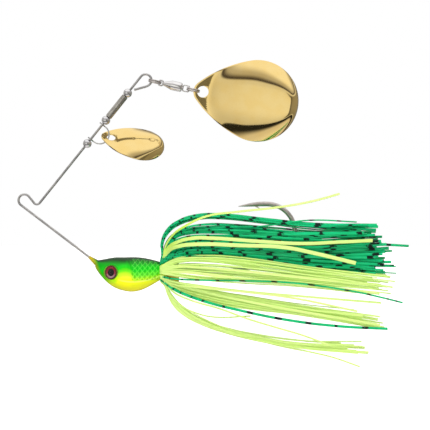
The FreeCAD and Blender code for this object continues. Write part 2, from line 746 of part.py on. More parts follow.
race_front, race_rear = -size("race_front"), size("race_rear")
front_root = -size("barrel_front") - size("eye_wire") / 2 - size("front_eye_play")
rear_root = size("barrel_rear") + size("eye_wire") / 2 + size("rear_eye_play")
rear_head = race_rear - size("ball_dia") - 2 * size("ball_play") - size("stem_head_thick")
front_eye = swivel_eye(
    "swivel_front_eye", -end_wire, front_root, "front_eye_width", race_front,
    "dims.barrel_front + dims.eye_wire / 2 + dims.front_eye_play - dims.race_front")
rear_eye = swivel_eye(
    "swivel_rear_eye", end_wire, rear_root, "rear_eye_width", rear_head,
    "dims.barrel_rear + dims.eye_wire / 2 + dims.rear_eye_play - dims.race_rear"
    " + dims.ball_dia + 2 * dims.ball_play + dims.stem_head_thick")

barrel = new_body("swivel_barrel")
barrel_half = new_sketch(barrel, "barrel_half", "XZ_Plane")
front, rear = -size("barrel_front"), size("barrel_rear")
cone_end = front + size("barrel_cone")
shoulder = size("barrel_radius")
polygon(barrel_half, [
    (front, size("stem_radius")),
    (front, size("barrel_tip")),
    (cone_end, shoulder),
    (rear - size("barrel_bevel"), shoulder),
    (rear, shoulder - size("barrel_bevel")),
    (rear, size("stem_bore")),
    (race_rear, size("stem_bore")),
    (race_rear, size("race_radius")),
    (race_front, size("race_radius")),
    (race_front, size("stem_radius")),
])
revolve(barrel, "barrel_form", barrel_half)
barrel.Placement = chain_frame(swivel_at)

BALLS = 5
balls = []
ball_x = race_rear - size("ball_dia") / 2 - size("ball_play")
for k in range(BALLS):
    ball = doc.addObject("Part::Sphere", f"bearing_ball_{k}")
    bind(ball, Radius="dims.ball_dia / 2")
    a = math.tau * k / BALLS
    spot = Vector(ball_x, math.cos(a) * size("ball_circle"), math.sin(a) * size("ball_circle"))
    ball.Placement = Placement(spot, Rotation())
    balls.append(ball)
bearing = doc.addObject("Part::Compound", "swivel_bearing_balls")
bearing.Label = "swivel_bearing_balls"
bearing.Links = balls
bearing.Placement = chain_frame(swivel_at)

blade_large = blade("blade_large", "big")
hole_reach = ring_inner + size("big_hole") / 2 - size("hole_gap")
big_hole_at = rear_ring_at + toward(-size("big_angle")) * hole_reach
blade_large.Placement = blade_frame(big_hole_at, size("big_angle"), 0, size("big_hole_at"))

doc.recompute()
kept = [
    wire_arm, hook, head, *eye_pieces, band, *skirt, stop_bead, bead_middle, bead_upper,
    spacer_tube, clevis, blade_small, ring_front, front_eye, barrel, bearing, rear_eye,
    ring_rear, blade_large,
]
for thing in doc.Objects:
    if "Invalid" in thing.State or "Error" in thing.State:
        raise RuntimeError(f"{thing.Label} failed: {thing.State}")
for thing in kept:
    if thing.Shape.isNull() or not thing.Shape.isValid() or not thing.Shape.Solids:
        raise RuntimeError(f"{thing.Label} has no valid solid")

os.makedirs("parts", exist_ok=True)
for thing in kept:
    thing.Shape.exportStep(f"parts/{thing.Label}.step")
    box = thing.Shape.BoundBox
    print(f"{thing.Label}: {len(thing.Shape.Solids)} solid, {thing.Shape.Volume:.2f} mm3, "
          f"{box.XLength:.1f} x {box.YLength:.1f} x {box.ZLength:.1f} mm")

# Where the joints turn.
for label, at in [
    ("loop_centre", loop_centre), ("front_ring", front_ring_at), ("swivel", swivel_at),
    ("rear_ring", rear_ring_at), ("bow_centre", bow_centre),
]:
    print(f"{label}: {at.x:.4f}, {at.z:.4f}")
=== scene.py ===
import json
import math
import random
import bpy
import bmesh
from mathutils import Matrix, Vector


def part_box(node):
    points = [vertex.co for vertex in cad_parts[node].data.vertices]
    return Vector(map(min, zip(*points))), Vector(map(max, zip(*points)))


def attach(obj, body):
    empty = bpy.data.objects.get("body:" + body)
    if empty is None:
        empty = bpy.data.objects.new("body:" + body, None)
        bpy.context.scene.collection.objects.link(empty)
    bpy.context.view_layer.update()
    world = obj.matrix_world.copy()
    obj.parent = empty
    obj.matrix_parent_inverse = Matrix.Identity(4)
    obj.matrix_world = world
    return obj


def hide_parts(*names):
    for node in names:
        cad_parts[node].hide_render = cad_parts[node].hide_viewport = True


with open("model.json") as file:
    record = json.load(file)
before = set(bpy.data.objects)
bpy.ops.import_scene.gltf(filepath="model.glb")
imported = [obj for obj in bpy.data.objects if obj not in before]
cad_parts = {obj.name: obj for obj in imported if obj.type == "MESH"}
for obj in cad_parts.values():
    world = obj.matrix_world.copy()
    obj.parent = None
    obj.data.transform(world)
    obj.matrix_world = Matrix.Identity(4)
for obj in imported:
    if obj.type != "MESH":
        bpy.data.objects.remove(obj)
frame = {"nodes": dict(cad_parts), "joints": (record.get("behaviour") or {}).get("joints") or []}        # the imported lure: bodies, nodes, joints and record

print("spinnerbait: frame loaded")

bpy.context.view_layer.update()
mm = 0.001
node = frame["nodes"]
jointAt = {j["name"]: Vector(j["pos_m"]) for j in frame["joints"]}
jointWay = {j["name"]: Vector(j["axis"]).normalized() for j in frame["joints"]}

armUp = jointWay["clevis_spin"]            # up the upper arm
chainWay = jointWay["swivel_spin"]         # along the swivel, towards the large blade
across = Vector((0, 1, 0))
bandLow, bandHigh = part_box("skirt_band")
shankZ = (bandLow.z + bandHigh.z) / 2      # the hook's shank runs through the middle of the band
neckX = bandLow.x


# ---- helpers: materials ----
def newMaterial(name):
    mat = bpy.data.materials.new(name)
    mat.use_nodes = True
    tree = mat.node_tree
    return mat, tree, tree.nodes["Principled BSDF"]


def addNode(tree, kind, **settings):
    made = tree.nodes.new(kind)
    for key, value in settings.items():
        setattr(made, key, value)
    return made


def link(tree, source, target):
    tree.links.new(source, target)


def objectPoint(tree, scale=(1, 1, 1), turn=(0, 0, 0), centre=(0, 0, 0)):
    # Object coordinates, moved so that centre is the pattern's own origin
    coords = addNode(tree, "ShaderNodeTexCoord")
    mapping = addNode(tree, "ShaderNodeMapping", vector_type="TEXTURE")
    mapping.inputs["Location"].default_value = centre
    mapping.inputs["Rotation"].default_value = turn
    mapping.inputs["Scale"].default_value = tuple(1 / s for s in scale)
    link(tree, coords.outputs["Object"], mapping.inputs["Vector"])
    return mapping.outputs["Vector"]


def ramp(tree, source, stops):
    made = addNode(tree, "ShaderNodeValToRGB")
    made.color_ramp.interpolation = "EASE"
    while len(made.color_ramp.elements) < len(stops):
        made.color_ramp.elements.new(0.5)
    for element, (at, colour) in zip(made.color_ramp.elements, stops):
        element.position = at
        element.color = (*colour, 1)
    link(tree, source, made.inputs["Fac"])
    return made.outputs["Color"]


def fade(tree, source, dark, bright):
    # A ramp that is 0 at dark and 1 at bright, whichever of the two comes first
    return ramp(tree, source, sorted([(dark, (0, 0, 0)), (bright, (1, 1, 1))]))


def partsOf(tree, vector):
    made = addNode(tree, "ShaderNodeSeparateXYZ")
    link(tree, vector, made.inputs["Vector"])
    return made.outputs


def noiseValue(tree, vector, scale, detail=3.0, rough=0.5):
    made = addNode(tree, "ShaderNodeTexNoise")
    made.inputs["Scale"].default_value = scale
    made.inputs["Detail"].default_value = detail
    made.inputs["Roughness"].default_value = rough
    link(tree, vector, made.inputs["Vector"])
    return made.outputs["Fac"]


def mathOf(tree, operation, *values):
    made = addNode(tree, "ShaderNodeMath", operation=operation)
    for socket, value in zip(made.inputs, values):
        if isinstance(value, (int, float)):
            socket.default_value = value
        else:
            link(tree, value, socket)
    return made.outputs["Value"]


def mixColour(tree, share, first, second, blend="MIX"):
    made = addNode(tree, "ShaderNodeMix", data_type="RGBA", blend_type=blend)
    sockets = (made.inputs[0], made.inputs[6], made.inputs[7])        # the share and the two colours
    for socket, value in zip(sockets, (share, first, second)):
        if isinstance(value, tuple):
            socket.default_value = (*value, 1)
        elif isinstance(value, (int, float)):
            socket.default_value = value
        else:
            link(tree, value, socket)
    return made.outputs[2]


def paintOver(tree, under, share, strength, colour):
    return mixColour(tree, mathOf(tree, "MULTIPLY", share, strength), under, colour)


def bump(tree, shader, height, distance, strength=0.5):
    made = addNode(tree, "ShaderNodeBump")
    made.inputs["Strength"].default_value = strength
    made.inputs["Distance"].default_value = distance
    link(tree, height, made.inputs["Height"])
    link(tree, made.outputs["Normal"], shader.inputs["Normal"])


metalGrain = {"tarnishScale": 260, "tarnishFrom": 0.35, "tarnishTo": 0.7, "roughSpread": 0.9,
              "roughLow": 0.55, "strength": 0.35}


def metal(name, colour, dark, rough, grain, stretch=(1, 1, 1), turn=(0, 0, 0), depth=0.01):
    # Plated or drawn metal: fine grain, faint tarnish and a roughness that wanders; depth 0 has no bump
    mat, tree, shader = newMaterial(name)
    fine = noiseValue(tree, objectPoint(tree, stretch, turn), grain, 4.0)
    broad = noiseValue(tree, objectPoint(tree), metalGrain["tarnishScale"], 2.0)
    tarnish = fade(tree, broad, metalGrain["tarnishFrom"], metalGrain["tarnishTo"])
    link(tree, mixColour(tree, tarnish, colour, dark), shader.inputs["Base Color"])
    most, least = rough * metalGrain["roughSpread"], rough * metalGrain["roughLow"]
    link(tree, mathOf(tree, "MULTIPLY_ADD", fine, most, least), shader.inputs["Roughness"])
    shader.inputs["Metallic"].default_value = 1.0
    if depth:
        bump(tree, shader, fine, depth * mm, metalGrain["strength"])
    return mat


print("spinnerbait: metals")
alongArm = (0, -math.atan2(armUp.z, armUp.x), 0)
wireMetal = metal("wireMetal", (0.78, 0.77, 0.78), (0.55, 0.55, 0.57), rough=0.34, grain=5200)
hookMetal = metal("hookMetal", (0.80, 0.75, 0.73), (0.60, 0.56, 0.55), rough=0.32, grain=4200)
tubeMetal = metal("tubeMetal", (0.80, 0.78, 0.74), (0.58, 0.56, 0.52), rough=0.30, grain=3800,
                  stretch=(0.08, 1, 1), turn=alongArm, depth=0)
beadMetal = metal("beadMetal", (0.92, 0.92, 0.95), (0.80, 0.80, 0.84), rough=0.12, grain=2600)
strapMetal = metal("strapMetal", (0.85, 0.85, 0.86), (0.66, 0.66, 0.68), rough=0.28, grain=3600)
ringMetal = metal("ringMetal", (0.84, 0.80, 0.80), (0.62, 0.58, 0.58), rough=0.26, grain=4200)
swivelMetal = metal("swivelMetal", (0.95, 0.94, 0.96), (0.78, 0.77, 0.80), rough=0.12, grain=2600)
ballMetal = metal("ballMetal", (0.70, 0.70, 0.72), (0.52, 0.52, 0.54), rough=0.08, grain=3000)
goldMetal = metal("goldMetal", (0.97, 0.74, 0.32), (0.96, 0.71, 0.28), rough=0.07, grain=1500, depth=0)


# ---- helpers: meshes ----
def smoothStep(low, high, value):
    share = min(max((value - low) / (high - low), 0), 1)
    return share * share * (3 - 2 * share)


def pieceOf(name, bm, material, sharpAngle=35):
    bmesh.ops.recalc_face_normals(bm, faces=bm.faces)
    mesh = bpy.data.meshes.new(name)
    bm.to_mesh(mesh)
    bm.free()
    mesh.shade_smooth()
    mesh.set_sharp_from_angle(angle=math.radians(sharpAngle))
    made = bpy.data.objects.new(name, mesh)
    bpy.context.scene.collection.objects.link(made)
    made.data.materials.append(material)
    return made


def place(piece, body, slotName, *stoodFor):
    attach(piece, body)
    if stoodFor:
        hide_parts(*stoodFor)


def dress(nodeName, material):
    # A CAD node that keeps its shape and takes a better finish
    thing = node[nodeName]
    thing.data.materials.clear()
    thing.data.materials.append(material)


def axisFrame(origin, way, side):
    # X along way, Y near side, Z to the third direction
    xWay = way.normalized()
    zWay = xWay.cross(side).normalized()
    yWay = zWay.cross(xWay)
    turn = Matrix((xWay, yWay, zWay)).transposed().to_4x4()
    return Matrix.Translation(origin) @ turn


def lathe(profile, matrix, steps=48):
    # profile is (along, radius) in millimetres, turned about the local X axis
    bm = bmesh.new()
    ring = [bm.verts.new((a * mm, r * mm, 0)) for a, r in profile]
    edges = [bm.edges.new(pair) for pair in zip(ring, ring[1:] + ring[:1])]
    bmesh.ops.spin(bm, geom=ring + edges, cent=(0, 0, 0), axis=(1, 0, 0), angle=math.tau,
                   steps=steps, use_merge=True)
    bmesh.ops.remove_doubles(bm, verts=bm.verts, dist=0.002 * mm)
    bmesh.ops.transform(bm, matrix=matrix, verts=bm.verts)
    return bm


def ribbon(route, halfWide, halfThick, tilts, steps):
    # A curve with rounded edges through the route's points, given back as a mesh with UVs
    curve = bpy.data.curves.new("route", "CURVE")
    curve.dimensions = "3D"
    curve.twist_mode = "MINIMUM"
    spline = curve.splines.new("BEZIER")
    last = len(route) - 1
    spline.bezier_points.add(last)
    for k, (knot, at) in enumerate(zip(spline.bezier_points, route)):
        knot.co = at
        knot.handle_left_type = "AUTO"
        knot.handle_right_type = "AUTO"
        knot.tilt = tilts[0] + (tilts[1] - tilts[0]) * k / last
    curve.resolution_u = steps
    curve.extrude = halfWide - halfThick
    curve.bevel_depth = halfThick
    curve.bevel_resolution = 1
    curve.use_fill_caps = True
    holder = bpy.data.objects.new("route", curve)
    bpy.context.scene.collection.objects.link(holder)
    bpy.context.view_layer.update()
    mesh = bpy.data.meshes.new_from_object(holder)
    bpy.data.objects.remove(holder)
    bpy.data.curves.remove(curve)
    return mesh


# ---- wire arm, hook and the plain metal pieces ----
dress("wire_arm", wireMetal)
dress("hook", hookMetal)
dress("clevis", strapMetal)
dress("swivel_front_eye", swivelMetal)
dress("swivel_rear_eye", swivelMetal)
dress("swivel_bearing_balls", ballMetal)


# ---- beads and spacer tube on the upper arm ----
print("spinnerbait: beads and tube")
beadSize = {"radius": 1.5, "bore": 0.48, "mouth": 1.35, "rings": 15}


def beadProfile():
    # Round outside with a flat land at each end of the bore
    start = math.asin(beadSize["bore"] * beadSize["mouth"] / beadSize["radius"])
    turn = (math.pi - 2 * start) / (beadSize["rings"] - 1)
    angles = [start + turn * k for k in range(beadSize["rings"])]
    outside = [(-math.cos(a) * beadSize["radius"], math.sin(a) * beadSize["radius"]) for a in angles]
    land = abs(outside[0][0])
    return outside + [(land, beadSize["bore"]), (-land, beadSize["bore"])]


def middleOf(name):
    low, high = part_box(name)
    return (low + high) / 2


for name, body in (("stop_bead", "lure"), ("bead_middle", "middle_bead"), ("bead_upper", "upper_bead")):
    turned = lathe(beadProfile(), axisFrame(middleOf(name), armUp, across), 40)
    bead = pieceOf(name + "_turned", turned, beadMetal, 40)
    place(bead, body, "bead_chrome", name)

tubeSize = {"radius": 1.1, "bore": 0.75, "edge": 0.12, "lap": 0.14}      # lap: how far a bead sits in the end


def tubeProfile(half):
    r, bore, edge = tubeSize["radius"], tubeSize["bore"], tubeSize["edge"]
    return [(-half, bore + edge), (-half, r - edge), (-half + edge, r), (half - edge, r),
            (half, r - edge), (half, bore + edge), (half - edge, bore), (-half + edge, bore)]


beadGap = (middleOf("bead_upper") - middleOf("bead_middle")).length / mm
tubeHalf = beadGap / 2 - beadSize["radius"] + tubeSize["lap"]
tubeFrame = axisFrame(middleOf("spacer_tube"), armUp, across)
tube = pieceOf("spacer_tube_drawn", lathe(tubeProfile(tubeHalf), tubeFrame), tubeMetal, 30)
place(tube, "spacer", "tube_steel", "spacer_tube")


# ---- split rings ----
print("spinnerbait: split rings")
ringSize = {"middle": 2.05, "halfWall": 0.29, "halfTurn": 0.25, "rise": 0.27, "turns": 1.93, "cross": 0.35,
            "startAngle": 0.6, "points": 72}


def coilRoute(centre):
    # Two flat turns that step over each other in one short crossing
    flat = axisFrame(centre, chainWay, across)
    total = ringSize["turns"] * math.tau
    route = []
    for k in range(ringSize["points"] + 1):
        turned = total * k / ringSize["points"]
        angle = turned + ringSize["startAngle"]
        spot = Vector((math.cos(angle), math.sin(angle), 0)) * ringSize["middle"]
        spot.z = ringSize["rise"] * math.tanh((turned - total / 2) / ringSize["cross"])
        route.append(flat @ (spot * mm))
    return route


def splitRing(name, body, centre):
    # The wire's section is wider across the coil than it is thick
    mesh = ribbon(coilRoute(centre), ringSize["halfWall"] * mm, ringSize["halfTurn"] * mm,
                  (math.pi / 2, math.pi / 2), 2)
    bm = bmesh.new()
    bm.from_mesh(mesh)
    bmesh.ops.remove_doubles(bm, verts=bm.verts, dist=0.001 * mm)
    ring = pieceOf(name + "_coil", bm, ringMetal)
    place(ring, body, "ring_steel", name)


for name, body in (("split_ring_front", "front_ring"), ("split_ring_rear", "rear_ring")):
    splitRing(name, body, middleOf(name))


# ---- swivel barrel ----
print("spinnerbait: swivel")
barrelSize = {"front": -3.6, "rear": 2.8, "radius": 1.6, "tip": 0.75, "tipRound": 0.12, "cone": 2.6,
              "groove": 0.07, "frontBore": 0.36, "rearBore": 0.42,
              "room": 1.2, "roomFrom": -0.6, "roomTo": 2.04}


def barrelProfile():
    # Cone, shoulder, a groove before the pressed rear cap, and the room for the balls
    front, rear, r, tip = (barrelSize[key] for key in ("front", "rear", "radius", "tip"))
    coneEnd = front + barrelSize["cone"]
    tipRound, groove = barrelSize["tipRound"], barrelSize["groove"]
    cone = [(front, barrelSize["frontBore"]), (front, tip - tipRound), (front + tipRound, tip),
            (front + 0.55, tip + 0.08), (coneEnd - 0.35, r - 0.2), (coneEnd, r - 0.04), (coneEnd + 0.3, r)]
    cap = [(rear - 1.02, r), (rear - 0.95, r - groove), (rear - 0.8, r - groove), (rear - 0.73, r),
           (rear - 0.5, r), (rear - 0.22, r - 0.14), (rear - 0.04, r - 0.42), (rear, r - 0.6)]
    inside = [(rear, barrelSize["rearBore"]), (barrelSize["roomTo"], barrelSize["rearBore"]),
              (barrelSize["roomTo"], barrelSize["room"]), (barrelSize["roomFrom"], barrelSize["room"]),
              (barrelSize["roomFrom"], barrelSize["frontBore"])]
    return cone + cap + inside


barrelFrame = axisFrame(jointAt["swivel_spin"], chainWay, across)
barrel = pieceOf("swivel_barrel_turned", lathe(barrelProfile(), barrelFrame, 64), swivelMetal, 32)
place(barrel, "swivel_front", "swivel_chrome", "swivel_barrel")


# ---- blades ----
print("spinnerbait: blades")
bladeSize = {
    "blade_large": {"length": 36.0, "round": 13.9, "tip": 4.0, "side": 42.0, "hole": 1.95, "holeAt": 3.2,
                    "depth": 4.4, "front": 5.6, "bow": 4.0, "deep": 33.4, "entry": 0.25, "slope": 1.15,
                    "curl": 2.8, "endCurl": 0.9, "thick": 0.5, "angle": 9.45, "roll": 0},
    "blade_small": {"length": 21.8, "round": 7.5, "tip": 2.0, "side": 19.0, "hole": 1.5, "holeAt": 3.4,
                    "depth": 3.0, "front": 5.4, "bow": 2.0, "deep": 18.6, "entry": 0.2, "slope": 1.3,
                    "curl": 2.3, "endCurl": 0.6, "thick": 0.5, "angle": 13.5, "roll": -44.0},
}
bladeMake = {"around": 160, "rings": 34, "edge": 0.09, "sharp": math.radians(50)}


def sideCircle(b):
    # The large circle that joins the narrow end to the round end
    middle = b["length"] - b["round"]
    toEnd, toTip = b["side"] - b["round"], b["side"] - b["tip"]
    x = (toTip ** 2 - toEnd ** 2 + middle ** 2 - b["tip"] ** 2) / (2 * (middle - b["tip"]))
    y = -math.sqrt(toEnd ** 2 - (x - middle) ** 2)
    return x, y


def onOutline(b, spot, centre, middle, sx, sy):
    # Each circle counts only between the lines through its own tangent points
    tipLine = (Vector((b["tip"] - sx, -sy))).normalized()
    endLine = (Vector((middle - sx, -sy))).normalized()
    fromTip = (spot.x - sx) * tipLine.y - (spot.y - sy) * tipLine.x
    fromEnd = (spot.x - sx) * endLine.y - (spot.y - sy) * endLine.x
    slack = 1e-6
    if centre == (b["tip"], 0):
        return fromTip <= slack
    if centre == (middle, 0):
        return fromEnd >= -slack
    return fromTip >= -slack and fromEnd <= slack


def outlineReach(b, angle, start):
    # Distance from the point start on the axis to the blade's edge in one direction
    sx, sy = sideCircle(b)
    way = Vector((math.cos(angle), abs(math.sin(angle))))
    middle = b["length"] - b["round"]
    circles = (((b["tip"], 0), b["tip"]), ((sx, sy), b["side"]), ((middle, 0), b["round"]))
    for (cx, cy), r in circles:
        gap = Vector((start - cx, -cy))
        half = gap.dot(way)
        reach = -half + math.sqrt(max(half * half - gap.length_squared + r * r, 0))
        spot = Vector((start, 0)) + way * reach
        if onOutline(b, spot, (cx, cy), middle, sx, sy):
            best = reach
    return best


def halfWidth(b, x):
    # Half the blade's width at the distance x from its tip
    sx, sy = sideCircle(b)
    middle = b["length"] - b["round"]
    tipEnd = b["tip"] + (b["tip"] - sx) * b["tip"] / (b["side"] - b["tip"])
    roundFrom = middle + (middle - sx) * b["round"] / (b["side"] - b["round"])
    if x < tipEnd:
        return math.sqrt(max(b["tip"] ** 2 - (x - b["tip"]) ** 2, 1e-4))
    if x < roundFrom:
        return sy + math.sqrt(b["side"] ** 2 - (x - sx) ** 2)
    return math.sqrt(max(b["round"] ** 2 - (x - middle) ** 2, 1e-4))


def cupHeight(b, x, y):
    # A spoon: flat land round the hole, a long even slope, the deepest line near the round end
    front = b["front"] + b["bow"] * (y / b["round"]) ** 2
    if x <= front:
        return 0.0
    if x < b["deep"]:
        left = 1 - (x - front) / (b["deep"] - front)
        rise = b["entry"] * (1 - left ** 5) + (1 - b["entry"]) * (1 - left ** b["slope"])
    else:
        rise = math.sqrt(max(1 - ((x - b["deep"]) / (b["length"] - b["deep"])) ** 2, 0))
    outwards = min(abs(y) / halfWidth(b, x), 1)
    curl = b["curl"] + b["endCurl"] * smoothStep(0.62, 0.95, x / b["length"])
    return b["depth"] * rise * (1 - outwards ** curl)


def bladeMesh(b):
    # Rings of points from the outline in to the cup's middle; until the end a point's height is its share
    bm = bmesh.new()
    rings = bladeMake["rings"]
    start = b["length"] - b["round"]
    bmesh.ops.create_circle(bm, segments=bladeMake["around"], radius=1.0, cap_ends=False)
    bm.verts.ensure_lookup_table()
    rim = list(bm.edges)
    for _ in range(rings - 1):
        made = bmesh.ops.extrude_edge_only(bm, edges=rim)["geom"]
        rim = [g for g in made if isinstance(g, bmesh.types.BMEdge)]
        fresh = [g for g in made if isinstance(g, bmesh.types.BMVert)]
        ownRing = set(fresh)
        rim = [e for e in rim if e.verts[0] in ownRing and e.verts[1] in ownRing]
        for v in fresh:
            v.co.z += 1.0 / rings
    hub = bm.verts.new((0, 0, 1))
    for e in rim:
        bm.faces.new((e.verts[0], e.verts[1], hub))
    for v in bm.verts:
        share = 1 - v.co.z
        angle = math.atan2(v.co.y, v.co.x)
        reach = outlineReach(b, angle, start) * share if share > 1e-6 else 0
        x, y = start + math.cos(angle) * reach, math.sin(angle) * reach
        v.co = Vector((x, y, cupHeight(b, x, y)))
    return bm


def addModifier(piece, kind, **settings):
    made = piece.modifiers.new(kind.lower(), kind)
    for key, value in settings.items():
        setattr(made, key, value)
    return made


def applyModifiers(piece):
    bpy.context.view_layer.update()
    graph = bpy.context.evaluated_depsgraph_get()
    mesh = bpy.data.meshes.new_from_object(piece.evaluated_get(graph))
    piece.modifiers.clear()
    piece.data = mesh


def punch(piece, b):
    # The hole for the ring or the clevis
    bm = bmesh.new()
    bmesh.ops.create_cone(bm, cap_ends=True, segments=72, radius1=b["hole"], radius2=b["hole"],
                          depth=8, matrix=Matrix.Translation((b["holeAt"], 0, 0)))
    cutter = pieceOf("cutter", bm, goldMetal)
    addModifier(piece, "BOOLEAN", object=cutter, operation="DIFFERENCE", solver="EXACT")
    applyModifiers(piece)
    bpy.data.objects.remove(cutter)


def below(angle):
    return Vector((math.cos(math.radians(angle)), 0, -math.sin(math.radians(angle))))


def bladeFrame(b, holeSpot):
    # Length along the blade's angle below the horizontal, cup towards -Y, then rolled about the length
    way = below(b["angle"])
    cup = Matrix.Rotation(math.radians(b["roll"]), 3, way) @ Vector((0, -1, 0))
    turn = Matrix((way, cup.cross(way), cup)).transposed().to_4x4()
    return Matrix.Translation(holeSpot - way * b["holeAt"] * mm) @ turn


def blade(name, body, hangsFrom, holeAway):
    # holeAway: from the middle of what it hangs on to the middle of its hole
    b = bladeSize[name]
    piece = pieceOf(name + "_cup", bladeMesh(b), goldMetal, 50)
    addModifier(piece, "SOLIDIFY", thickness=b["thick"], offset=-1.0, use_even_offset=True)
    applyModifiers(piece)
    punch(piece, b)
    addModifier(piece, "BEVEL", width=bladeMake["edge"], segments=2, limit_method="ANGLE",
                angle_limit=bladeMake["sharp"])
    applyModifiers(piece)
    frameAt = bladeFrame(b, hangsFrom + below(b["angle"]) * holeAway * mm)
    piece.data.transform(frameAt @ Matrix.Scale(mm, 4))
    piece.data.shade_smooth()
    piece.data.set_sharp_from_angle(angle=bladeMake["sharp"])
    place(piece, body, "gold_plate", name)


linkSize = {"ringInside": 1.75, "ringPlay": 0.35, "bowMiddle": 3.2, "bowPlay": 0.85}
ringToHole = linkSize["ringInside"] + bladeSize["blade_large"]["hole"] - linkSize["ringPlay"]
bowToHole = linkSize["bowMiddle"] + linkSize["bowPlay"]
blade("blade_large", "large_blade", middleOf("split_ring_rear"), ringToHole)
blade("blade_small", "small_blade", jointAt["small_blade_swing"], bowToHole)


# ---- head ----
print("spinnerbait: head")
headSize = {
    "voxel": 0.13, "weld": 0.004, "scalePitch": 1.7, "scaleRow": 1.0, "scaleReach": 1.12, "scaleDepth": 0.08,
    "scalesFrom": 36.2, "scalesTo": 46.2, "scalesBelow": 3.4, "scalesAbove": 3.6,       # the scaled patch
    "gillFrom": 36.6, "gillLean": 0.33, "gillBow": 0.012, "gillDepth": 0.2, "gillWide": 0.22,
    "gillSwell": 0.16,
}


def gillLine(up):
    # The gill cover's rear edge, bowed back towards the belly; up is the height above the shank
    return headSize["gillFrom"] - headSize["gillLean"] * up + headSize["gillBow"] * up * up


def plateau(low, lowEdge, highEdge, high, value):
    # 0 outside, 1 between the two edges, with soft slopes
    return smoothStep(low, lowEdge, value) * (1 - smoothStep(highEdge, high, value))


def scaleLift(x, z):
    # Overlapping scales: each rises to its round rear edge, and the front one lies on top
    pitch, row, reach = (headSize[key] * mm for key in ("scalePitch", "scaleRow", "scaleReach"))
    line = math.floor(z / row)
    foremost = None
    for k in (line - 1, line, line + 1, line + 2):
        shift = 0.5 * pitch if k % 2 else 0.0
        cell = math.floor((x - shift) / pitch)
        for c in (cell - 1, cell, cell + 1):
            centre = Vector((shift + c * pitch, k * row))
            away = (Vector((x, z)) - centre).length
            if away < reach and (foremost is None or centre.x < foremost[0]):
                foremost = (centre.x, away / reach)
    if foremost is None:
        return 0.0
    return smoothStep(0.42, 0.97, foremost[1])


def headLift(x, up, side):
    # How far the skin is raised at a place on the flank, and the scales' height share there, which the paint
    # turns into painted highlight and shade
    h = headSize
    patch = plateau(h["scalesFrom"], h["scalesFrom"] + 1, h["scalesTo"] - 0.6, h["scalesTo"], x)
    patch *= plateau(-h["scalesBelow"], 0.8 - h["scalesBelow"], h["scalesAbove"], h["scalesAbove"] + 1, up)
    scale = scaleLift(x * mm, shankZ + up * mm) if patch * side > 0 else 0.5
    tone = (scale - 0.5) * patch * side
    gill = x - gillLine(up)
    swell = h["gillSwell"] * plateau(-1.3, -0.1, 0, 0.3, gill)
    groove = h["gillDepth"] * math.exp(-((gill - 0.3) / h["gillWide"]) ** 2)
    lift = tone * h["scaleDepth"] + (swell - groove) * side * plateau(-4.2, -2.6, 4.2, 5, up)
    return lift, 0.5 + tone


def sculptHead(mesh):
    bm = bmesh.new()
    bm.from_mesh(mesh)
    bm.normal_update()
    moved = []
    shadingLayer = bm.verts.layers.float.new("scaleShading")
    for v in bm.verts:
        side = smoothStep(0.25, 0.6, abs(v.normal.y))          # only the two flanks are cut
        lift, v[shadingLayer] = headLift(v.co.x / mm, (v.co.z - shankZ) / mm, side)
        moved.append((v, v.co + v.normal * lift * mm))
    for v, spot in moved:
        v.co = spot
    bm.to_mesh(mesh)
    bm.free()


def headPiece():
    # The cast shape remeshed finely, then cut with scales and the gill cover
    bm = bmesh.new()
    bm.from_mesh(node["head"].data)
    bmesh.ops.remove_doubles(bm, verts=bm.verts, dist=headSize["weld"] * mm)
    piece = pieceOf("head_painted", bm, headPaint)
    addModifier(piece, "REMESH", mode="VOXEL", voxel_size=headSize["voxel"] * mm)
    addModifier(piece, "SMOOTH", factor=0.5, iterations=3)
    applyModifiers(piece)
    sculptHead(piece.data)
    piece.data.shade_smooth()
    if not piece.data.materials:
        piece.data.materials.append(headPaint)
    place(piece, "lure", "head_paint", "head")


paintSize = {
    "tall": 12.2, "shankShare": 0.66, "lean": -7.0, "leanFrom": 0.245, "sprayScale": 420, "spray": 0.07,
    "cheekAt": (34.2, -1.8), "cheekHalf": (3.8, 5.4), "cheekDrop": -0.17,
    # Where the painted highlight runs: its dip, bow, depth below the shank, width, start and run behind the
    # eye
    "highlightDip": 37.2, "highlightBow": -24.5, "highlightBelow": 3.6, "highlightWide": 0.8, "highlightStart": -10.4, "highlightRun": 3.0,
    "collarAt": 47.0, "noseAt": 24.0, "noseLong": 6.0, "noseTall": 16.0,
}
flankStops = [
    (0.0, (0.88, 0.80, 0.004)), (0.30, (0.76, 0.82, 0.004)), (0.40, (0.46, 0.76, 0.004)),
    (0.52, (0.10, 0.60, 0.004)), (0.66, (0.004, 0.48, 0.004)), (0.95, (0.001, 0.26, 0.006)),
]


def ellipseMask(tree, parts, centre, half):
    # 1 in the middle of an upright ellipse in X and Z, fading to 0 at its edge; sizes in millimetres
    x = mathOf(tree, "MULTIPLY_ADD", parts["X"], 1 / (half[0] * mm), -centre[0] / half[0])
    z = mathOf(tree, "MULTIPLY_ADD", parts["Z"], 1 / (half[1] * mm), -centre[1] / half[1])
    away = mathOf(tree, "ADD", mathOf(tree, "MULTIPLY", x, x), mathOf(tree, "MULTIPLY", z, z))
    return fade(tree, away, 1.0, 0.0)


def flankHeight(tree, point, parts):
    # 0 at the belly, 1 on the back, with a soft sprayed edge and a low cheek
    p = paintSize
    wander = noiseValue(tree, point, p["sprayScale"], 3.0)
    height = mathOf(tree, "MULTIPLY_ADD", parts["Z"], 1 / (p["tall"] * mm), p["shankShare"])
    slope = mathOf(tree, "MULTIPLY_ADD", parts["X"], p["lean"], p["leanFrom"])
    height = mathOf(tree, "ADD", height, slope)
    height = mathOf(tree, "MULTIPLY_ADD", mathOf(tree, "SUBTRACT", wander, 0.5), p["spray"], height)
    cheek = ellipseMask(tree, parts, p["cheekAt"], p["cheekHalf"])
    return mathOf(tree, "MULTIPLY_ADD", cheek, p["cheekDrop"], height)


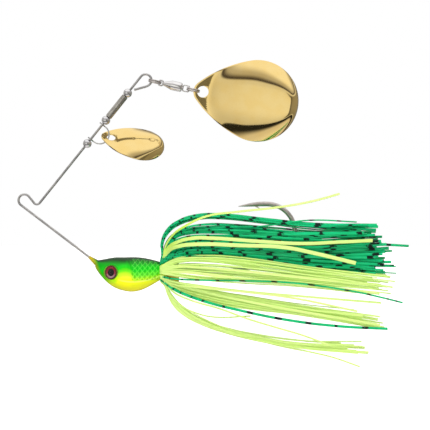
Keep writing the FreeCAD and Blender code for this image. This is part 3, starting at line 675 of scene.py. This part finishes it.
def paintedHighlightLine(tree, parts, under):
    # A painted highlight: a pale line of mirrored light that parts the flank from the belly, from behind the
    # eye
    p = paintSize
    fromDip = mathOf(tree, "ADD", parts["X"], -p["highlightDip"] * mm)
    line = mathOf(tree, "MULTIPLY_ADD", mathOf(tree, "MULTIPLY", fromDip, fromDip), p["highlightBow"], parts["Z"])
    line = mathOf(tree, "ABSOLUTE", mathOf(tree, "ADD", line, p["highlightBelow"] * mm))
    line = fade(tree, mathOf(tree, "MULTIPLY", line, 1 / (p["highlightWide"] * mm)), 0.6, 0.0)
    behindEye = mathOf(tree, "MULTIPLY_ADD", parts["X"], 1 / (p["highlightRun"] * mm), p["highlightStart"])
    line = mathOf(tree, "MULTIPLY", line, fade(tree, behindEye, 0.0, 1.0))
    return paintOver(tree, under, line, 0.45, (0.90, 0.96, 0.22))


def collarPaint(tree, parts, height, under):
    # The collar behind the band: dull green above, orange yellow below
    behind = mathOf(tree, "MULTIPLY_ADD", parts["X"], 1 / mm, -paintSize["collarAt"])
    collar = mixColour(tree, fade(tree, height, 0.45, 0.70), (0.74, 0.48, 0.04), (0.16, 0.28, 0.12))
    return mixColour(tree, fade(tree, behind, 0.2, 0.8), under, collar)


def darkBack(tree, under):
    # A dark line along the back, where the surface faces up
    shape = addNode(tree, "ShaderNodeNewGeometry")
    facing = partsOf(tree, shape.outputs["Normal"])
    return paintOver(tree, under, fade(tree, facing["Z"], 0.45, 0.82), 0.94, (0.001, 0.022, 0.004))


def brownNose(tree, parts, under):
    # The nose edge and the sleeve on the wire go orange brown
    p = paintSize
    nose = mathOf(tree, "MULTIPLY_ADD", parts["X"], 1 / (p["noseLong"] * mm), -p["noseAt"] / p["noseLong"])
    nose = mathOf(tree, "MULTIPLY_ADD", parts["Z"], 1 / (p["noseTall"] * mm), nose)
    return paintOver(tree, under, fade(tree, nose, 0.40, 0.0), 0.75, (0.58, 0.36, 0.01))


def scaleHighlightAndShade(tree, under):
    # Painted highlight in bright green on the raised edges of the scales, painted shade in deep green in the
    # cuts
    tone = addNode(tree, "ShaderNodeAttribute", attribute_name="scaleShading").outputs["Fac"]
    body = paintOver(tree, under, fade(tree, tone, 0.55, 0.95), 0.34, (0.16, 0.80, 0.10))
    return paintOver(tree, body, fade(tree, tone, 0.45, 0.10), 0.50, (0.002, 0.30, 0.01))


def paintedHead():
    mat, tree, shader = newMaterial("headPaint")
    point = objectPoint(tree, centre=(0, 0, shankZ))
    parts = partsOf(tree, point)
    height = flankHeight(tree, point, parts)
    body = ramp(tree, height, flankStops)
    body = paintedHighlightLine(tree, parts, body)
    body = collarPaint(tree, parts, height, body)
    body = darkBack(tree, body)
    body = brownNose(tree, parts, body)
    body = scaleHighlightAndShade(tree, body)
    link(tree, body, shader.inputs["Base Color"])
    shader.inputs["Roughness"].default_value = 0.34
    shader.inputs["Specular IOR Level"].default_value = 0.18
    shader.inputs["Coat Weight"].default_value = 0.25
    shader.inputs["Coat Roughness"].default_value = 0.06
    bump(tree, shader, noiseValue(tree, point, 900, 2.0), 0.02 * mm, 0.25)
    return mat


headPaint = paintedHead()
headPiece()


# ---- eyes ----
print("spinnerbait: eyes")
eyeAt = middleOf("eye_disc_left")
eyeSize = {"narrow": 1.2, "radius": 2.4, "highlightTall": 3.2, "highlightFrom": 0.42, "fleck": 0.5}
irisAndHighlightStops = [(0.2, (0.50, 0.01, 0.02)), (0.55, (0.60, 0.06, 0.10)), (0.85, (0.66, 0.40, 0.44))]
ringStops = [     # pupil, iris and dark rim, from the middle out
    (0.0, (0, 0, 0)), (0.50, (0, 0, 0)), (0.58, (1, 1, 1)), (0.72, (1, 1, 1)),
    (0.82, (0.55, 0.35, 0.30)), (0.90, (0.10, 0.03, 0.01)), (0.97, (0.10, 0.03, 0.01)),
]


def printedEye():
    # Black pupil, red iris with pale flecks and a painted highlight low down, dark rim; the print is an
    # upright oval about the eye's axis
    mat, tree, shader = newMaterial("printedEye")
    point = objectPoint(tree, centre=(eyeAt.x, 0, eyeAt.z))
    parts = partsOf(tree, point)
    narrow = mathOf(tree, "MULTIPLY", parts["X"], eyeSize["narrow"])
    x2 = mathOf(tree, "MULTIPLY", narrow, narrow)
    z2 = mathOf(tree, "MULTIPLY", parts["Z"], parts["Z"])
    radius = mathOf(tree, "SQRT", mathOf(tree, "ADD", x2, z2))
    share = mathOf(tree, "MULTIPLY", radius, 1 / (eyeSize["radius"] * mm))
    streak = noiseValue(tree, point, 900, 2.0)
    # The iris is deep red above; the pale pink below is a painted highlight
    low = mathOf(tree, "MULTIPLY_ADD", parts["Z"], -1 / (eyeSize["highlightTall"] * mm), eyeSize["highlightFrom"])
    low = mathOf(tree, "MULTIPLY_ADD", mathOf(tree, "SUBTRACT", streak, 0.5), eyeSize["fleck"], low)
    look = mixColour(tree, 1.0, ramp(tree, low, irisAndHighlightStops), ramp(tree, share, ringStops), "MULTIPLY")
    halo = fade(tree, share, 0.97, 1.0)                                     # green shows round the print
    look = mixColour(tree, halo, look, (0.30, 0.55, 0.02))
    look = mixColour(tree, 1.0, look, (0.004, 0.005, 0.010), "ADD")
    link(tree, look, shader.inputs["Base Color"])
    shader.inputs["Metallic"].default_value = 0.25
    shader.inputs["Roughness"].default_value = 0.3
    bump(tree, shader, streak, 0.02 * mm, 0.3)
    return mat


def clearResin():
    # A clear dome: mostly see-through, with a hard gloss
    mat, tree, shader = newMaterial("clearResin")
    tone = noiseValue(tree, objectPoint(tree), 700, 1.0)
    tint = ramp(tree, tone, [(0.3, (0.02, 0.02, 0.02)), (0.8, (0.05, 0.05, 0.05))])
    link(tree, tint, shader.inputs["Base Color"])
    link(tree, mathOf(tree, "MULTIPLY_ADD", tone, 0.03, 0.0), shader.inputs["Roughness"])
    shader.inputs["Alpha"].default_value = 0.26
    shader.inputs["IOR"].default_value = 1.6
    return mat


eyePrint = printedEye()
eyeResin = clearResin()
for side in ("left", "right"):
    dress("eye_disc_" + side, eyePrint)
    dress("eye_lens_" + side, eyeResin)


# ---- skirt ----
print("spinnerbait: skirt")


strandLook = {"rough": 0.28, "roughSpread": 0.25, "grainScale": 1800, "tipLightFrom": 50, "tipLightLong": 30,
              "tipLightTall": 24, "tipLightShare": 0.8, "barHalf": 2.7, "barRagged": 2.6}
greenStops = [(0.30, (0.001, 0.27, 0.09)), (0.55, (0.002, 0.42, 0.15)), (0.75, (0.006, 0.55, 0.24))]
yellowStops = [(0.30, (0.46, 0.70, 0.03)), (0.52, (0.54, 0.75, 0.10)), (0.75, (0.60, 0.78, 0.20))]


def paintedTipLight(tree, colour, pale):
    # Painted light: strands turn paler towards their tips and the lower side, where they lie single and light
    # comes through them
    parts = partsOf(tree, objectPoint(tree))
    toTips = mathOf(tree, "MULTIPLY_ADD", parts["X"], 1 / (strandLook["tipLightLong"] * mm),
                    -strandLook["tipLightFrom"] / strandLook["tipLightLong"])
    toTips = mathOf(tree, "MULTIPLY_ADD", parts["Z"], -1 / (strandLook["tipLightTall"] * mm), toTips)
    share = mathOf(tree, "MULTIPLY", fade(tree, toTips, 0.3, 1.0), strandLook["tipLightShare"])
    return mixColour(tree, share, colour, pale)


def blackBars(tree, uv, colour):
    # Ragged black bars printed across the strand
    ragged = noiseValue(tree, uv.outputs["UV"], 1.1, 4.0, 0.7)
    along = mathOf(tree, "MULTIPLY_ADD", mathOf(tree, "SUBTRACT", ragged, 0.5), strandLook["barRagged"],
                   partsOf(tree, uv.outputs["UV"])["X"])
    beat = mathOf(tree, "PINGPONG", along, strandLook["barHalf"])
    bar = ramp(tree, mathOf(tree, "MULTIPLY", beat, 1 / strandLook["barHalf"]),
               [(0.0, (1, 1, 1)), (0.13, (1, 1, 1)), (0.20, (0, 0, 0))])
    return mixColour(tree, bar, colour, (0.002, 0.014, 0.010))


def silicone(name, stops, clear, paintedGlow, pale=None, barred=False):
    # Soft translucent strand; the UV map runs in millimetres along it, and across it
    mat, tree, shader = newMaterial(name)
    uv = addNode(tree, "ShaderNodeUVMap", uv_map="UVMap")
    colour = ramp(tree, noiseValue(tree, uv.outputs["UV"], 0.12, 3.0, 0.6), stops)
    if pale:
        colour = paintedTipLight(tree, colour, pale)
    if barred:
        colour = blackBars(tree, uv, colour)
    link(tree, colour, shader.inputs["Base Color"])
    # Painted glow: the strand gives off a little light of its own colour whatever lights it, standing in for
    # its fluorescent dye and lifting its shade
    link(tree, colour, shader.inputs["Emission Color"])
    shader.inputs["Emission Strength"].default_value = paintedGlow
    grain = noiseValue(tree, objectPoint(tree), strandLook["grainScale"], 2.0)
    rough = mathOf(tree, "MULTIPLY_ADD", grain, strandLook["roughSpread"], strandLook["rough"])
    link(tree, rough, shader.inputs["Roughness"])
    shader.inputs["IOR"].default_value = 1.41
    shader.inputs["Transmission Weight"].default_value = clear
    shader.inputs["Specular IOR Level"].default_value = 0.25
    bump(tree, shader, grain, 0.03 * mm, 0.3)
    return mat


skirtYellow = silicone("skirtYellow", yellowStops, 0.20, 0.14, pale=(0.62, 0.78, 0.28))
skirtGreen = silicone("skirtGreen", greenStops, 0.08, 0.04, barred=True)

# Routes of the outermost strands, in millimetres behind the neck and above the shank. A tuft's
# strands lie between its two routes; near and far are its strand counts on the two sides of the
# hook, and stand is how far they keep from the middle plane.
tufts = {
    "green_top": {
        "first": [(0.2, 5.4), (0.0, 9.4), (1.6, 13.6), (5.8, 17.0), (12, 19.0), (20, 19.3), (35, 17.8),
                  (52, 16.2), (69, 16.0)],
        "last": [(0.4, 5.2), (0.4, 9.0), (2.4, 12.8), (6.6, 15.8), (12.6, 17.6), (20, 17.9), (35, 16.4),
                 (52, 14.2), (71, 13.6)],
        "near": 5, "far": 4, "stand": (1.9, 6.8)},
    "green_veil": {
        "first": [(0.6, 5.0), (1.2, 8.6), (3.6, 12.2), (8, 14.6), (15, 16.0), (25, 15.9), (38, 14.9),
                  (53, 13.6), (72, 13.4)],
        "last": [(0.8, 5.0), (2.0, 8.4), (5.0, 11.2), (10, 12.6), (17, 13.0), (26, 12.8), (38, 12.4),
                 (53, 11.6), (71, 12.0)],
        "near": 4, "far": 3, "stand": (2.2, 6.4)},
    "green_middle": {
        "first": [(0.8, 4.6), (2.6, 7.6), (6.4, 10.4), (13, 11.6), (24, 11.9), (44, 12.2), (71, 12.8)],
        "last": [(1.0, 3.6), (3.6, 5.8), (8.4, 7.8), (17, 8.0), (30, 7.0), (50, 5.6), (74, 6.2)],
        "near": 15, "far": 14, "stand": (1.9, 7.6)},
    "green_low": {
        "first": [(0.9, 3.6), (3.2, 5.4), (8.0, 6.8), (17, 7.4), (32, 6.8), (52, 5.8), (73, 5.6)],
        "last": [(0.9, 2.8), (3.2, 4.2), (8.0, 5.0), (17, 4.8), (32, 3.0), (52, 0.2), (76, -1.6)],
        "near": 14, "far": 10, "stand": (1.9, 6.4)},
    "yellow_main": {
        "first": [(0.5, 1.9), (2.4, 3.0), (6.5, 4.6), (16, 5.5), (28, 4.8), (47, 2.0), (76, -2.2)],
        "last": [(0.5, -0.9), (2.4, -1.3), (6.5, -2.0), (16, -3.2), (28, -4.2), (47, -5.4), (73, -7.6)],
        "near": 22, "far": 9, "stand": (6.0, 8.8)},
    "yellow_third": {
        "first": [(0.5, -1.6), (2.2, -3.0), (6.0, -4.4), (14.5, -6.0), (27, -8.0), (45, -11.4),
                  (70, -15.0)],
        "last": [(0.6, -2.6), (2.2, -4.6), (6.0, -6.8), (14.5, -9.4), (27, -12.2), (45, -14.8),
                 (72, -19.8)],
        "near": 12, "far": 7, "stand": (3.6, 7.2)},
    "yellow_lowest": {
        "first": [(1.2, -4.6), (3.0, -7.6), (5.6, -10.4), (9.4, -13.4), (15.3, -16.4), (23, -19.2),
                  (34, -21.8), (47, -23.8), (66, -23.6)],
        "last": [(1.0, -4.6), (2.2, -7.8), (4.0, -11.4), (7.6, -14.8), (13.2, -17.8), (21, -20.6),
                 (33, -23.6), (47, -26.0), (67, -28.2)],
        "near": 7, "far": 5, "stand": (0.8, 4.6)},
}

# Single strands that stray from the tufts: where they go, how far off the middle, width
strays = [
    ("yellow", [(0.3, 4.6), (0.9, 7.0), (3.0, 11.2), (8.4, 15.4), (15.5, 18.6), (25.4, 20.0), (40.4, 21.7),
                (50.9, 23.6), (60.0, 26.1)], -8.4, 0.8),
    ("yellow", [(0.8, 4.2), (2.2, 6.4), (5.6, 8.4), (13, 9.2), (26.4, 8.8), (41.7, 8.1), (50.9, 6.3),
                (65.4, 2.8)], -9.6, 1.3),
    ("yellow", [(0.6, 4.6), (1.8, 7.2), (5.0, 9.6), (10.6, 11.2), (17.4, 11.2), (32, 10.2), (47.8, 9.4),
                (60, 9.9), (71.1, 10.4)], -9.9, 1.2),
    ("yellow", [(0.8, -4.4), (2.4, -7.8), (6.6, -12.6), (13, -17.0), (26.4, -21.4), (38.7, -25.0),
                (50.9, -27.5), (58, -29.2), (67.2, -32.4)], -3.0, 0.6),
    ("yellow", [(0.8, -4.2), (2.2, -7.0), (5.4, -10.8), (11.3, -13.9), (17.4, -15.4),
                (30.2, -15.1)], -4.8, 0.6),
    ("yellow", [(0.9, -3.8), (3.0, -6.2), (8.0, -8.9), (20.3, -12.7), (28.5, -15.7), (38.7, -18.8),
                (47.8, -21.5), (57.0, -25.0)], -7.6, 0.65),
    ("yellow", [(0.6, -2.6), (3.4, -4.0), (12, -5.2), (28, -6.8), (44, -8.8), (66, -13.4)], -9.0, 0.7),
    ("yellow", [(0.6, -2.0), (3.4, -3.2), (12, -4.6), (28, -6.6), (46, -8.2), (74, -10.6)], -8.6, 1.0),
    ("green", [(0.6, -3.4), (3.2, -5.4), (8.0, -7.6), (14, -9.8), (26.4, -13.0), (43.4, -16.4),
               (59.9, -18.4), (76.2, -19.3)], -8.2, 1.0),
    ("green", [(0.4, -1.8), (3.4, -2.4), (12, -2.8), (24, -3.0), (43.4, -3.7), (64.8, -6.7), (76, -9.2),
               (81.2, -10.5)], -9.3, 0.8),
    ("green", [(0.8, 4.2), (1.8, 7.6), (6.0, 10.8), (20, 12.0), (45, 11.0), (66, 9.6),
               (83.5, 8.5)], -6.6, 0.9),
    ("green", [(0.8, 4.8), (2.0, 9.0), (7.0, 12.6), (18, 14.6), (34, 15.2), (50, 17.2),
               (66, 16.6)], -5.0, 0.5),
]


strandSize = {
    "halfThick": 0.17, "halfWides": (0.5, 0.5, 0.55, 0.35), "twist": 0.9, "tiltSpread": 0.45,
    "rootStand": 0.9, "hookGap": 1.7, "closeIn": 0.28, "sway": 0.5, "overBand": 4.2, "overCollar": 1.8,
    "drift": 0.7, "shorter": 5.5, "longer": 4.5, "tipLift": 0.8, "weld": 0.0005,
}


def clearOfHead(x, y, z):
    # Strands lie over the band and the collar's rim on their way back
    need = strandSize["overBand"] + strandSize["overCollar"] * smoothStep(1.4, 3.4, x)
    need *= 1 - smoothStep(8.5, 14.0, x)
    if math.hypot(y, z) < need:
        y = math.copysign(math.sqrt(max(need * need - z * z, 0.04)), y)
    return y


def strandRoute(path, stand, side, dice):
    # Out from under the band's front edge, over the band and collar, then back beside the hook
    points = []
    sway = dice.uniform(-strandSize["sway"], strandSize["sway"])
    for x, z in path:
        y = side * (strandSize["rootStand"] + (stand - strandSize["rootStand"]) * smoothStep(0.0, 9.0, x))
        towardsTip = smoothStep(40, 80, x)
        y = clearOfHead(x, y * (1 - strandSize["closeIn"] * towardsTip) + sway * towardsTip, z)
        if abs(y) < strandSize["hookGap"] and x > 8 and z > -2:
            y = side * strandSize["hookGap"]
        points.append(Vector((x, y, z)))
    out = Vector((0, points[0].y, points[0].z)).normalized()
    root = [Vector((0.25, 0, 0)) + out * 2.75, Vector((-0.05, 0, 0)) + out * 3.6]
    return [Vector((neckX, 0, shankZ)) + p * mm for p in root + points]


def sample(route, at):
    # The spot at a share of the way through the route's points
    place = at * (len(route) - 1)
    k = min(int(place), len(route) - 2)
    share = place - k
    return tuple(a + (b - a) * share for a, b in zip(route[k], route[k + 1]))


def between(first, last, share, dice):
    # A route between two routes, with a wander of its own and a ragged end
    count = max(len(first), len(last))
    mixed = []
    wander = dice.uniform(-1, 1)
    for k in range(count):
        at = k / (count - 1)
        a, b = sample(first, at), sample(last, at)
        drift = strandSize["drift"] * wander * math.sin(at * 5.0 + wander * 3) * smoothStep(0.1, 0.5, at)
        mixed.append((a[0] + (b[0] - a[0]) * share, a[1] + (b[1] - a[1]) * share + drift))
    longer = dice.uniform(-strandSize["shorter"], strandSize["longer"])
    (px, pz), (x, z) = mixed[-2:]
    stretch = longer / math.hypot(x - px, z - pz)
    lift = dice.uniform(-strandSize["tipLift"], strandSize["tipLift"])
    mixed[-1] = (x + (x - px) * stretch, z + (z - pz) * stretch + lift)
    return mixed


def addStrand(bm, points, halfWide, dice, tilt):
    twist = dice.uniform(-strandSize["twist"], strandSize["twist"])
    mesh = ribbon(points, halfWide * mm, strandSize["halfThick"] * mm, (tilt, tilt + twist), 5)
    length = sum((b - a).length for a, b in zip(points, points[1:])) / mm
    shift = dice.uniform(0, 400)                    # so that no two strands have their bars in line
    for corner in mesh.uv_layers[0].data:
        corner.uv = (corner.uv[0] * length + shift, corner.uv[1] * 2)
    bm.from_mesh(mesh)
    bpy.data.meshes.remove(mesh)


def layTuft(bm, tuft, count, side, dice):
    for k in range(count):
        share = (k + dice.uniform(0.1, 0.9)) / count
        path = between(tuft["first"], tuft["last"], share, dice)
        points = strandRoute(path, dice.uniform(*tuft["stand"]), side, dice)
        halfWide = dice.choice(strandSize["halfWides"])
        addStrand(bm, points, halfWide, dice, dice.gauss(math.pi / 2, strandSize["tiltSpread"]))


def skirtPiece(name, colour, slotName, stoodFor, tuftNames, sides, strayList, seed):
    dice = random.Random(seed)
    bm = bmesh.new()
    bm.loops.layers.uv.new("UVMap")
    for tuftName in tuftNames:
        for side, count in ((-1, "near"), (1, "far")):
            if side in sides:
                layTuft(bm, tufts[tuftName], tufts[tuftName][count], side, dice)
    for path, stand, wide in strayList:
        points = strandRoute(path, abs(stand), math.copysign(1, stand), dice)
        addStrand(bm, points, wide / 2, dice, math.pi / 2)
    bmesh.ops.remove_doubles(bm, verts=bm.verts, dist=strandSize["weld"] * mm)
    piece = pieceOf(name, bm, colour, 60)
    place(piece, "lure", slotName, stoodFor)
    print(name, len(piece.data.polygons), "faces")


def straysOf(colour, low, high):
    # The stray strands of one colour whose tips end between two heights
    return [(path, stand, wide) for kind, path, stand, wide in strays
            if kind == colour and low <= path[-1][1] < high]


greenTufts = ["green_top", "green_veil", "green_middle", "green_low"]
yellowTufts = ["yellow_main", "yellow_third"]
skirtPiece("skirt_green_near", skirtGreen, "skirt_green", "skirt_upper_right", greenTufts, (-1,),
           straysOf("green", -99, 99), seed=11)
skirtPiece("skirt_green_far", skirtGreen, "skirt_green", "skirt_upper_left", greenTufts, (1,), [], seed=12)
skirtPiece("skirt_yellow_near", skirtYellow, "skirt_yellow", "skirt_middle_right", yellowTufts, (-1,),
           straysOf("yellow", -16, 99), seed=13)
skirtPiece("skirt_yellow_far", skirtYellow, "skirt_yellow", "skirt_middle_left", yellowTufts, (1,), [],
           seed=14)
skirtPiece("skirt_yellow_low", skirtYellow, "skirt_yellow", "skirt_lower", ["yellow_lowest"], (-1, 1),
           straysOf("yellow", -99, -16), seed=15)


# ---- skirt band ----
print("spinnerbait: band")
bandSize = {"outer": 3.7, "inner": 2.9, "edge": 0.3}


def bandProfile(half):
    o, i, e = bandSize["outer"], bandSize["inner"], bandSize["edge"]
    return [(-half, i), (-half, o - e), (-half + e * 0.35, o - e * 0.35), (-half + e, o), (half - e, o),
            (half - e * 0.35, o - e * 0.35), (half, o - e), (half, i)]


def bandRubber():
    mat, tree, shader = newMaterial("bandRubber")
    tone = noiseValue(tree, objectPoint(tree), 900, 3.0)
    colour = ramp(tree, tone, [(0.3, (0.42, 0.60, 0.02)), (0.7, (0.56, 0.72, 0.05))])
    link(tree, colour, shader.inputs["Base Color"])
    link(tree, mathOf(tree, "MULTIPLY_ADD", tone, 0.3, 0.4), shader.inputs["Roughness"])
    bump(tree, shader, tone, 0.05 * mm, 0.4)
    return mat


bandHalf = (bandHigh.x - bandLow.x) / 2 / mm
bandFrame = axisFrame((bandLow + bandHigh) / 2, Vector((1, 0, 0)), across)
band = pieceOf("skirt_band_moulded", lathe(bandProfile(bandHalf), bandFrame, 64), bandRubber(), 40)
place(band, "lure", "band_rubber", "skirt_band")


# ---- floor, light and camera ----
print("spinnerbait: studio")
studio = {"floorZ": -0.16, "floorHalf": 8.0, "lookX": 0.0648, "lookZ": -0.005, "away": 0.6,
          "frameWide": 0.1462, "sensor": 36}
lamps = {
    "keyLight": {"at": (-0.25, -0.75, 0.65), "size": (0.5, 0.4), "power": 6.0},
    "fillLight": {"at": (0.75, -0.55, 0.10), "size": (0.5, 0.5), "power": 2.0},
    "backLight": {"at": (0.05, 0.70, 0.45), "size": (0.6, 0.4), "power": 3.5},
    "underLight": {"at": (0.04, -0.42, -0.14), "size": (0.5, 0.2), "power": 1.6},
}
# What the metal mirrors, from straight down to straight up, and level with the lure from left to right
roomBands = [
    (0.0, (0.85, 0.82, 0.78)), (0.13, (0.70, 0.66, 0.62)), (0.22, (0.02, 0.02, 0.02)),
    (0.285, (0.02, 0.02, 0.02)), (0.295, (0.62, 0.61, 0.58)), (0.50, (0.80, 0.79, 0.76)),
    (0.70, (0.72, 0.71, 0.68)), (0.73, (0.06, 0.05, 0.05)), (0.80, (0.50, 0.48, 0.46)),
    (0.90, (1.0, 0.98, 0.94)),
]
roomLevel = [
    (0.0, (0.45, 0.44, 0.42)), (0.20, (0.85, 0.84, 0.80)), (0.30, (1.0, 0.99, 0.95)),
    (0.42, (1.12, 1.12, 1.08)), (0.474, (1.10, 1.09, 1.04)), (0.484, (0.22, 0.21, 0.18)),
    (0.60, (0.20, 0.19, 0.17)), (0.66, (0.34, 0.32, 0.28)), (1.0, (0.40, 0.38, 0.34)),
]
levelBand = [(0.30, (0, 0, 0)), (0.34, (1, 1, 1)), (0.64, (1, 1, 1)), (0.68, (0, 0, 0))]
white = (1.0, 1.0, 1.0)


def studioFloor():
    bm = bmesh.new()
    bmesh.ops.create_grid(bm, x_segments=1, y_segments=1, size=studio["floorHalf"],
                          matrix=Matrix.Translation((0, 0, studio["floorZ"])))
    mat, tree, shader = newMaterial("floorPaper")
    tone = noiseValue(tree, objectPoint(tree), 3, 2.0)
    colour = ramp(tree, tone, [(0.2, (0.93, 0.93, 0.93)), (0.8, (0.96, 0.96, 0.96))])
    link(tree, colour, shader.inputs["Base Color"])
    shader.inputs["Roughness"].default_value = 0.9
    shader.inputs["Emission Color"].default_value = (1, 1, 1, 1)
    shader.inputs["Emission Strength"].default_value = 0.75
    floor = pieceOf("floor", bm, mat)
    floor.visible_glossy = False
    floor.visible_diffuse = False


def softLight(name, lamp):
    # Lights the lure but isn't mirrored in its metal
    data = bpy.data.lights.new(name, "AREA")
    data.shape = "RECTANGLE"
    data.size, data.size_y = lamp["size"]
    data.energy = lamp["power"]
    made = bpy.data.objects.new(name, data)
    made.location = lamp["at"]
    made.visible_glossy = False
    aim = Vector((studio["lookX"], 0, studio["lookZ"])) - Vector(lamp["at"])
    made.rotation_euler = aim.to_track_quat("-Z", "Y").to_euler()
    bpy.context.scene.collection.objects.link(made)


def studioWorld():
    # White to the eye; what the metal mirrors has dark bands between the soft lights
    world = bpy.data.worlds.new("studio")
    bpy.context.scene.world = world
    world.use_nodes = True
    tree = world.node_tree
    parts = partsOf(tree, addNode(tree, "ShaderNodeTexCoord").outputs["Generated"])
    height = mathOf(tree, "MULTIPLY_ADD", parts["Z"], 0.5, 0.5)
    sideways = mathOf(tree, "MULTIPLY_ADD", parts["X"], 0.5, 0.5)
    level = mixColour(tree, ramp(tree, height, levelBand), white, ramp(tree, sideways, roomLevel))
    room = mixColour(tree, 1.0, ramp(tree, height, roomBands), level, "MULTIPLY")
    seen = addNode(tree, "ShaderNodeLightPath").outputs["Is Camera Ray"]
    sky = tree.nodes["Background"]
    link(tree, mixColour(tree, seen, room, white), sky.inputs["Color"])
    sky.inputs["Strength"].default_value = 1.0


def studioCamera():
    data = bpy.data.cameras.new("camera")
    data.sensor_width = studio["sensor"]
    data.lens = studio["sensor"] * studio["away"] / studio["frameWide"]
    data.clip_start, data.clip_end = 0.01, 50
    camera = bpy.data.objects.new("camera", data)
    camera.location = (studio["lookX"], -studio["away"], studio["lookZ"])
    camera.rotation_euler = (math.radians(90), 0, 0)
    bpy.context.scene.collection.objects.link(camera)
    bpy.context.scene.camera = camera


studioFloor()
studioWorld()
for name, lamp in lamps.items():
    softLight(name, lamp)
studioCamera()
bpy.context.scene.view_settings.view_transform = "Standard"

print("spinnerbait: done")
